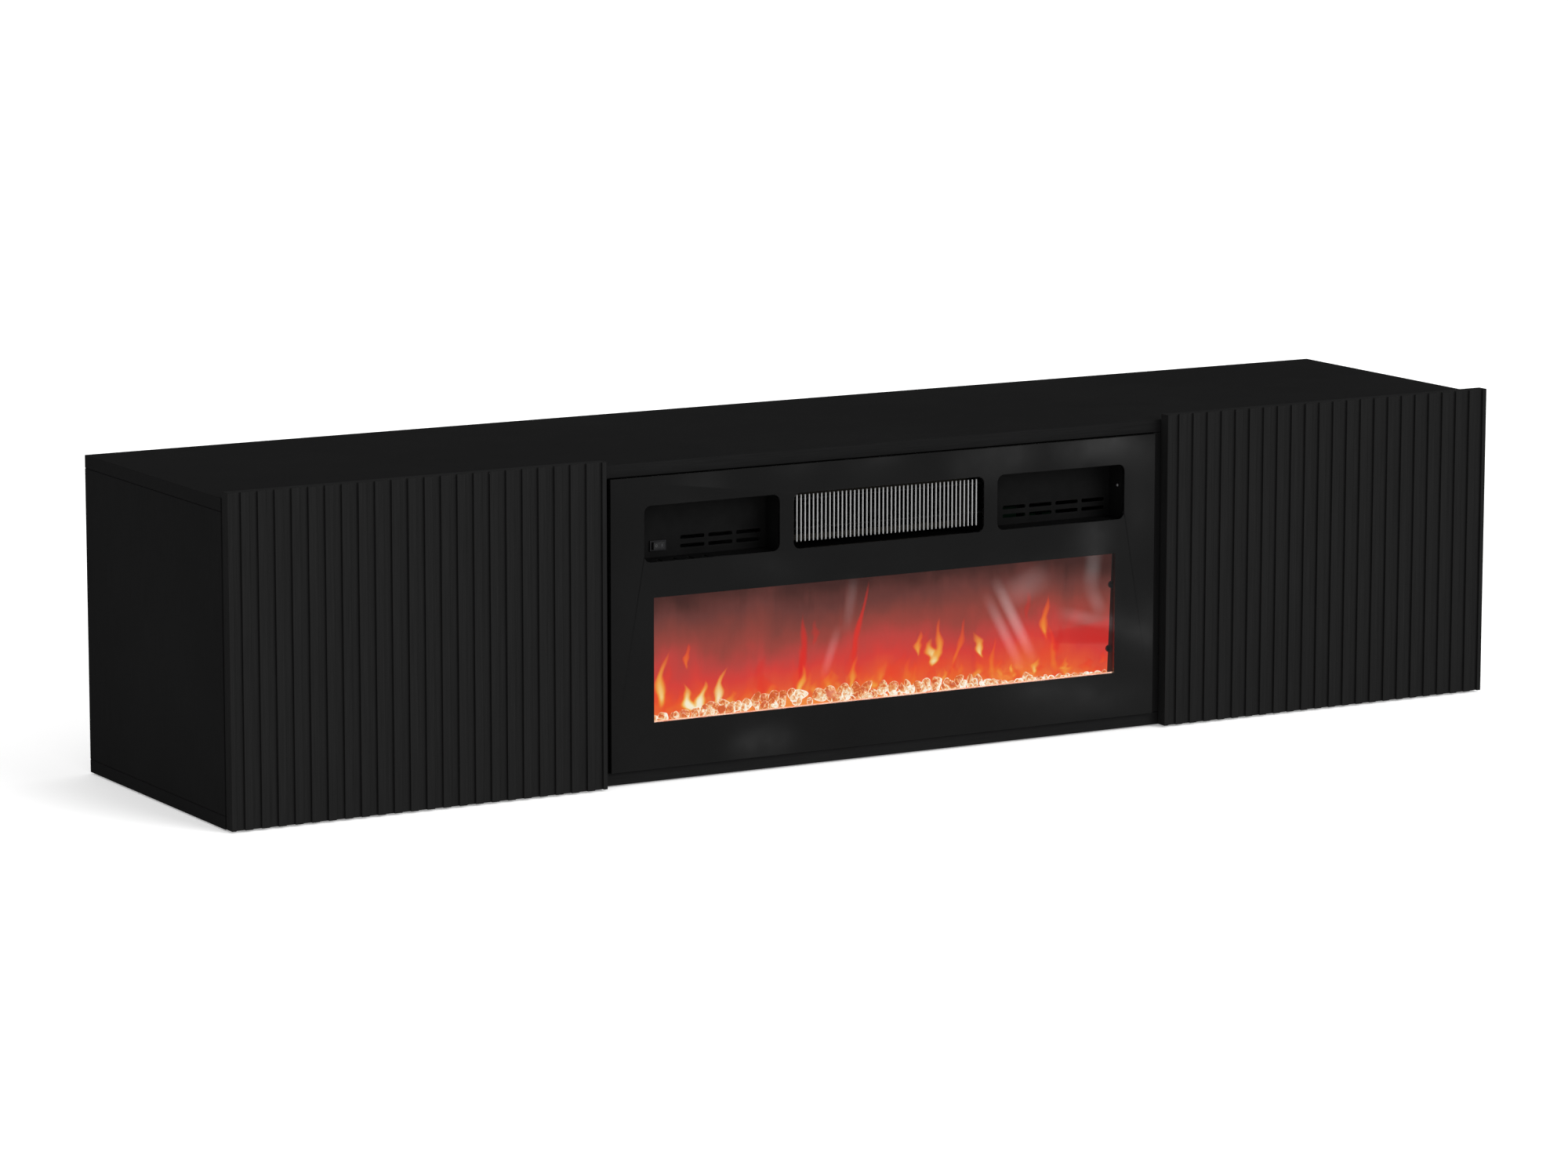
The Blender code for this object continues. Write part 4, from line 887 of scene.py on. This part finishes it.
def crystal(bm, centre, size, turn):
    """One broken lump: the hull of points thrown on a stretched ball, with its own tone."""
    points = []
    tone = random.uniform(-0.24, 0.20)
    for _ in range(LUMP_POINTS):
        direction = Vector([random.gauss(0, 1) for _ in range(3)]).normalized()
        point = Vector(d * s * LUMP_SPREAD for d, s in zip(direction, size))
        point.rotate(Matrix.Rotation(turn, 3, "Y"))
        points.append(bm.verts.new(Vector(centre) + point))
        points[-1][bm.verts.layers.float[TONE]] = tone
    hull = bmesh.ops.convex_hull(bm, input=points, use_existing_faces=False)
    spare = [item for item in hull["geom_interior"] if isinstance(item, bmesh.types.BMVert)]
    bmesh.ops.delete(bm, geom=spare, context="VERTS")


def make_crystals():
    """Large lumps along the heap's top, with smaller ones below and in front of them."""
    low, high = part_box("crystal_bed")
    depth = (high.y - low.y) / 2
    middle = (high.y + low.y) / 2
    bm = bmesh.new()
    bm.verts.layers.float.new(TONE)
    x = TOP_START
    while x < TOP_END:
        room = heap_top(x) - low.z
        tall = min(random.uniform(0.0075, 0.0125), room * 0.47)
        wide = random.uniform(0.80, 1.25) * tall
        top = heap_top(x) + random.uniform(-0.004, 0.001)
        place = (x, middle + 0.2 * depth, top - tall)
        crystal(bm, place, (wide, depth * 0.6, tall), random.uniform(-0.7, 0.7))
        x += wide * random.uniform(1.25, 1.75)
    for _ in range(FILL_LUMPS):
        x = random.uniform(-FILL_REACH, FILL_REACH)
        room = heap_top(x) - low.z
        tall = min(random.uniform(0.0045, 0.0085), room * 0.4)
        z = low.z + tall + random.uniform(0.0, 0.6) * (room - 2 * tall)
        place = (x, middle - depth * random.uniform(0.1, 0.45), z)
        crystal(bm, place, (tall * random.uniform(0.9, 1.4), depth * 0.45, tall), random.uniform(-1.5, 1.5))
    piece = finish_mesh(bm, "lit_crystals", crystal_look(), "cabinet")
    rounding = piece.modifiers.new("rounding", "SUBSURF")
    rounding.levels = rounding.render_levels = 2
    piece.data.shade_smooth()
    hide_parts("crystal_bed")


def dress_tray():
    """The crystals' tray, glowing in patches from the lamps under it."""
    look = Look("tray_glow", (0.6, 0.2, 0.1), 0.4)
    spots = look.noise((60.0, 60.0, 1.0), detail=2.0)
    look.glow(look.ramp(spots, ((0.3, srgb(232, 110, 60)), (0.7, srgb(250, 206, 160)))))
    dress(look, "crystal_tray")


EDGE_GAP, EDGE_THICK, EDGE_INSET = 0.0003, 0.0005, 0.0005
EDGE_DROP, EDGE_RISE, EDGE_BEVEL = 0.0004, 0.0010, 0.0001


def make_ember_edge():
    """The thin line of light where the tray's glow meets the window's bottom edge."""
    look = Look("ember_edge", (0.5, 0.1, 0.05), 0.5)
    flicker = look.noise((40.0, 1.0, 1.0), detail=3.0)
    look.glow(look.ramp(flicker, ((0.3, srgb(234, 140, 100)), (0.7, srgb(246, 210, 182)))))
    back, half = GLASS_HIGH.y + EDGE_GAP, WINDOW_HALF - EDGE_INSET
    plan = [(-half, back), (half, back), (half, back + EDGE_THICK), (-half, back + EDGE_THICK)]
    bar = extrude_plan(plan, WINDOW_BOTTOM - EDGE_DROP, WINDOW_BOTTOM + EDGE_RISE)
    piece = finish_mesh(bar, "ember_edge", look, "cabinet", bevel=EDGE_BEVEL)


# ---------------------------------------------------------------- small fittings


def cross_radius(angle, arm, half):
    """The edge of a cross-shaped hole at an angle."""
    turned = abs((angle + math.pi / 4) % (math.pi / 2) - math.pi / 4)
    return arm / math.cos(turned) if math.tan(turned) < half / arm else half / math.sin(turned)


# A head's rings (share of its radius, height as a share of it), and its cross recess's two (arm, half
# width of an arm, height).
HEAD_STEPS = 48
HEAD_RINGS = ((1.0, -0.02), (1.0, 0.16), (0.93, 0.32), (0.78, 0.44), (0.62, 0.50))
CROSS_RINGS = ((0.52, 0.13, 0.53), (0.40, 0.10, 0.08))


def screw_head(bm, place, direction, radius, driven=True):
    """A domed head standing on a surface, with a cross recess if it is driven."""
    turn = Matrix.Translation(place) @ Vector(direction).to_track_quat("Z", "Y").to_matrix().to_4x4()
    angles = circle_angles(HEAD_STEPS)
    rings = [([radius * share] * HEAD_STEPS, radius * height) for share, height in HEAD_RINGS]
    if driven:
        for arm, half, height in CROSS_RINGS:
            rings.append(([radius * cross_radius(a, arm, half) for a in angles], radius * height))
    loops = []
    for reaches, height in rings:
        points = [Vector((r * math.cos(a), r * math.sin(a), height)) for a, r in zip(angles, reaches)]
        loops.append([bm.verts.new(turn @ point) for point in points])
    skin(bm, loops)
    bm.faces.new(loops[0][::-1])
    bm.faces.new(loops[-1])


def fittings(name, places, direction, radius, body="cabinet", caps=False):
    """A group of equal screw heads, or of plain caps, on one body."""
    bm = bmesh.new()
    for place in places:
        screw_head(bm, place, direction, radius, driven=not caps)
    look = LOOKS["cap_plastic" if caps else "hinge_steel"]
    piece = finish_mesh(bm, name, look, body, angle=30)


CASE_INSET, CASE_COLUMN, CASE_MIDDLE = 0.007, 0.120, 0.190
BRACKET_SHEET, BRACKET_SETBACK, BRACKET_HEIGHTS = 0.002, 0.014, (0.168, 0.212)
PLATE_SHEET, PLATE_SETBACK, PLATE_STEPS = 0.002, 0.019, (-0.016, 0.016)
CUP_SCREW_STEPS = (-0.0178, 0.0178)
HANGER_SETBACK, HANGER_DROPS = 0.020, (0.012, 0.036)
CAP_FRONT, CAP_BACK, CAP_HEIGHTS = 0.048, 0.085, (0.050, 0.342)
HEADS = dict(case=0.0034, bracket=0.0036, plate=0.0040, cup=0.0011, hanger=0.0038, cap=0.0065)


def make_case_screws():
    """Screws round the rear cover, and through the brackets into the partitions."""
    low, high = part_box("rear_cover")
    edges = (low.x + CASE_INSET, high.x - CASE_INSET)
    columns = (edges[0], -CASE_COLUMN, CASE_COLUMN, edges[1])
    places = [(x, high.y, z) for x in columns for z in (low.z + CASE_INSET, high.z - CASE_INSET)]
    places += [(x, high.y, CASE_MIDDLE) for x in edges]
    fittings("rear_cover_screws", places, (0, 1, 0), HEADS["case"])
    for side, sign in zip(SIDES, (-1, 1)):
        low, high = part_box(f"{side}_insert_bracket")
        wall = high.x if sign > 0 else low.x
        places = [(wall - sign * BRACKET_SHEET, high.y - BRACKET_SETBACK, z) for z in BRACKET_HEIGHTS]
        fittings(f"{side}_bracket_screws", places, (-sign, 0, 0), HEADS["bracket"])


def make_cabinet_fittings():
    """Hinge screws, hanger screws and the caps over the cabinet's own joints."""
    for side, sign in zip(SIDES, (-1, 1)):
        inwards = (-sign, 0, 0)
        plates, cups = [], []
        for end in ENDS:
            low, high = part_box(f"{side}_hinge_arm_{end}")
            face = (low.x if sign < 0 else high.x) - sign * PLATE_SHEET
            middle = (low.z + high.z) / 2
            plates += [(face, high.y - PLATE_SETBACK, middle + step) for step in PLATE_STEPS]
            low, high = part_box(f"{side}_hinge_cup_{end}")
            centre = (low + high) / 2
            cups += [(centre.x, high.y, centre.z + step) for step in CUP_SCREW_STEPS]
        fittings(f"{side}_plate_screws", plates, inwards, HEADS["plate"])
        fittings(f"{side}_cup_screws", cups, (0, 1, 0), HEADS["cup"], body=f"{side}_door")
        low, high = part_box(f"{side}_wall_hanger")
        inner = low.x if sign > 0 else high.x
        places = [(inner, low.y + HANGER_SETBACK, high.z - drop) for drop in HANGER_DROPS]
        fittings(f"{side}_hanger_screws", places, inwards, HEADS["hanger"])
        for wall, facing in ((f"{side}_side_panel", -sign), (f"{side}_partition", sign)):
            low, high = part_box(wall)
            face = low.x if facing < 0 else high.x
            places = [(face, y, z) for y in (low.y + CAP_FRONT, high.y - CAP_BACK) for z in CAP_HEIGHTS]
            fittings(f"{wall}_caps", places, (facing, 0, 0), HEADS["cap"], caps=True)


LAMP_CHIPS, CHIP_SIZE, CHIP_HEIGHT, CHIP_BEVEL = 32, 0.0028, 0.0007, 0.0002
CHIP_RISE, CHIP_DROP = 0.00025, 0.0003


def make_lamps():
    """Rows of lamp chips: on top of the flame strip and under the ember strip."""
    look = Look("lamp_chip", (0.9, 0.8, 0.5), 0.35)
    grain = look.noise((900.0,) * 3)
    look.glow(look.ramp(grain, ((0.3, srgb(255, 170, 90)), (0.7, srgb(255, 214, 150)))), 0.6)
    size = Matrix.Diagonal((CHIP_SIZE, CHIP_SIZE, CHIP_HEIGHT, 1.0))
    for name in ("ember", "flame"):
        low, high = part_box(f"{name}_lamp_strip")
        level = high.z + CHIP_RISE if name == "flame" else low.z - CHIP_DROP
        bm = bmesh.new()
        for i in range(LAMP_CHIPS):
            x = low.x + (high.x - low.x) * (i + 0.5) / LAMP_CHIPS
            place = Matrix.Translation((x, (low.y + high.y) / 2, level))
            bmesh.ops.create_cube(bm, size=1.0, matrix=place @ size)
        piece = finish_mesh(bm, f"{name}_lamp_chips", look, "cabinet", bevel=CHIP_BEVEL)


ROCKER_PIVOT_Y = -0.153
ROCKER_TILT = 8.0
MARK_OFFSET, MARK_THICK = 0.0042, 0.0003
BAR_MARK, RING_MARK = (0.0006, MARK_THICK, 0.0032), (0.0017, 0.0012, MARK_THICK)
RIDGE_HEIGHT, RIDGE_DROP, RIDGE_REACH = 0.0040, 0.0012, 0.0082
RING_STEPS = 32


def ring(bm, outer, inner, thick):
    """A flat ring about the Y axis."""
    angles = circle_angles(RING_STEPS)
    loops = []
    for radius, y in ((outer, -thick / 2), (outer, thick / 2), (inner, thick / 2), (inner, -thick / 2)):
        loops.append([bm.verts.new((radius * math.cos(a), y, radius * math.sin(a))) for a in angles])
    skin(bm, [*loops, loops[0]])


def make_rocker_marks():
    """A ring and a bar moulded on the rocker's two halves, as on any mains switch."""
    low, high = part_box("power_rocker")
    centre = (low + high) / 2
    tilt = Matrix.Rotation(math.radians(ROCKER_TILT), 4, "Z")
    hub = Matrix.Translation((centre.x, ROCKER_PIVOT_Y, centre.z)) @ tilt
    slope = math.atan2(RIDGE_DROP, RIDGE_REACH)
    drop = MARK_OFFSET * RIDGE_DROP / RIDGE_REACH
    bm = bmesh.new()
    for side in (-1, 1):
        mark = bmesh.new()
        if side > 0:
            bmesh.ops.create_cube(mark, size=1.0, matrix=Matrix.Diagonal((*BAR_MARK, 1.0)))
        else:
            ring(mark, *RING_MARK)
        face = Matrix.Translation((side * MARK_OFFSET, -RIDGE_HEIGHT - drop, 0))
        mark.transform(hub @ face @ Matrix.Rotation(-side * slope, 4, "Z"))
        mesh = bpy.data.meshes.new("mark")
        mark.to_mesh(mesh)
        mark.free()
        bm.from_mesh(mesh)
        bpy.data.meshes.remove(mesh)
    marks = finish_mesh(bm, "rocker_marks", LOOKS["mark_paint"], "power_rocker")


# ---------------------------------------------------------------- all of it


def make_looks():
    """The looks that the CAD pieces and the pieces of glass, film and metal take."""
    film = Look("ribbed_film", (RIB_LEVEL,) * 3, 0.6, specular=0.03)
    grain = film.noise((1500.0, 1500.0, 14.0), detail=5.0)
    cloud = film.noise((4.0, 4.0, 2.0), detail=3.0)
    film.vary_colour(grain, (RIB_LEVEL * 0.78,) * 3, (RIB_LEVEL * 1.22,) * 3)
    film.vary_roughness(cloud, *MATT_ROUGHNESS).bump(grain, 0.0001)

    glass = Look("clear_glass", (1.0, 1.0, 1.0), 0.0, specular=0.5)
    glass.set("IOR", 1.45)
    glass.set("Transmission Weight", 1.0)
    glass.vary_colour(glass.noise((11.0,) * 3, detail=5.0), (0.97, 0.975, 0.97), (1.0, 1.0, 1.0))

    enamel = Look("enamel", (0.002,) * 3, 0.04, specular=0.5)
    enamel.vary_colour(enamel.noise((6.0,) * 3), (0.0015,) * 3, (0.003,) * 3)
    enamel.vary_roughness(enamel.noise((14.0,) * 3, detail=6.0), 0.03, 0.07)

    # Heater frame mica, darkened far below real mica's tan as painted shade, so the gaps between the outlet
    # bars read black.
    mica = Look("mica_painted_shade", (0.012, 0.011, 0.009), 0.6, specular=0.1)
    layers = mica.noise((60.0, 60.0, 900.0), detail=6.0)
    mica.vary_colour(layers, (0.008, 0.007, 0.005), (0.018, 0.016, 0.012)).bump(layers, 0.0001)

    brushed("bar_steel", (0.37,) * 3, 0.35, "Z").set("Metallic", 0.25)
    brushed("dull_steel", (0.05,) * 3, 0.5)
    brushed("hinge_steel", (0.62, 0.61, 0.59), 0.28, "Y")
    brushed("screw_steel", (0.92,) * 3, 0.4)
    # Fan wheel aluminium, darkened to near black as painted shade inside the duct.
    brushed("fan_aluminium_painted_shade", (0.035, 0.035, 0.037), 0.55)
    brushed("bronze_look", (0.42, 0.26, 0.12), 0.4)
    # Heating ribbon, darkened to near black as painted shade behind the outlet bars.
    brushed("ribbon_painted_shade", (0.020, 0.018, 0.016), 0.55, "Z")
    brushed("foil_look", (0.8,) * 3, 0.15)
    sheet_metal("zinc_sheet", (0.42, 0.43, 0.44), 0.42)
    # Rear cover zinc, darkened as painted shade so its inside, seen through the slots, reads black.
    sheet_metal("zinc_painted_shade", (0.14, 0.143, 0.147), 0.5)
    # Motor steel, darkened as painted shade so the motors seen through the slots read black.
    sheet_metal("motor_steel_painted_shade", (0.07, 0.07, 0.075), 0.5, flakes=300.0)
    paint("recess_paint", 0.005, 0.55, 0.08)
    paint("liner_paint", 0.02, 0.4, 0.2)
    paint("case_paint", 0.014)
    # Duct: black paint taken down to near-pure black with almost no sheen, partly its own black and partly
    # painted shade inside the outlet.
    paint("duct_black_and_painted_shade", 0.002, 0.7, 0.02)
    plastic("black_plastic_look", (0.012, 0.012, 0.013))
    plastic("rocker_plastic_look", (0.018, 0.018, 0.019), 0.35)
    plastic("mark_paint", (0.09,) * 3, 0.5)
    plastic("cap_plastic", (0.018,) * 3, 0.5)
    plastic("clear_rubber_look", (0.35, 0.35, 0.34), 0.5)
    plastic("nylon_look", (0.7, 0.68, 0.62))
    # Control board, its green darkened to near black as painted shade behind the slots.
    plastic("board_green_painted_shade", (0.003, 0.012, 0.006), 0.5, 0.1)
    plastic("board_white", (0.7, 0.7, 0.67), 0.5)


make_camera()
make_floor()
make_world()
make_key_light()
make_reflections()
make_looks()
dress_cabinet()
for door_side in SIDES:
    make_door(door_side)
make_glass()
make_outlet_bars()
dress_insert()
make_screen()
make_crystals()
dress_tray()
make_ember_edge()
make_case_screws()
make_cabinet_fittings()
make_lamps()
make_rocker_marks()
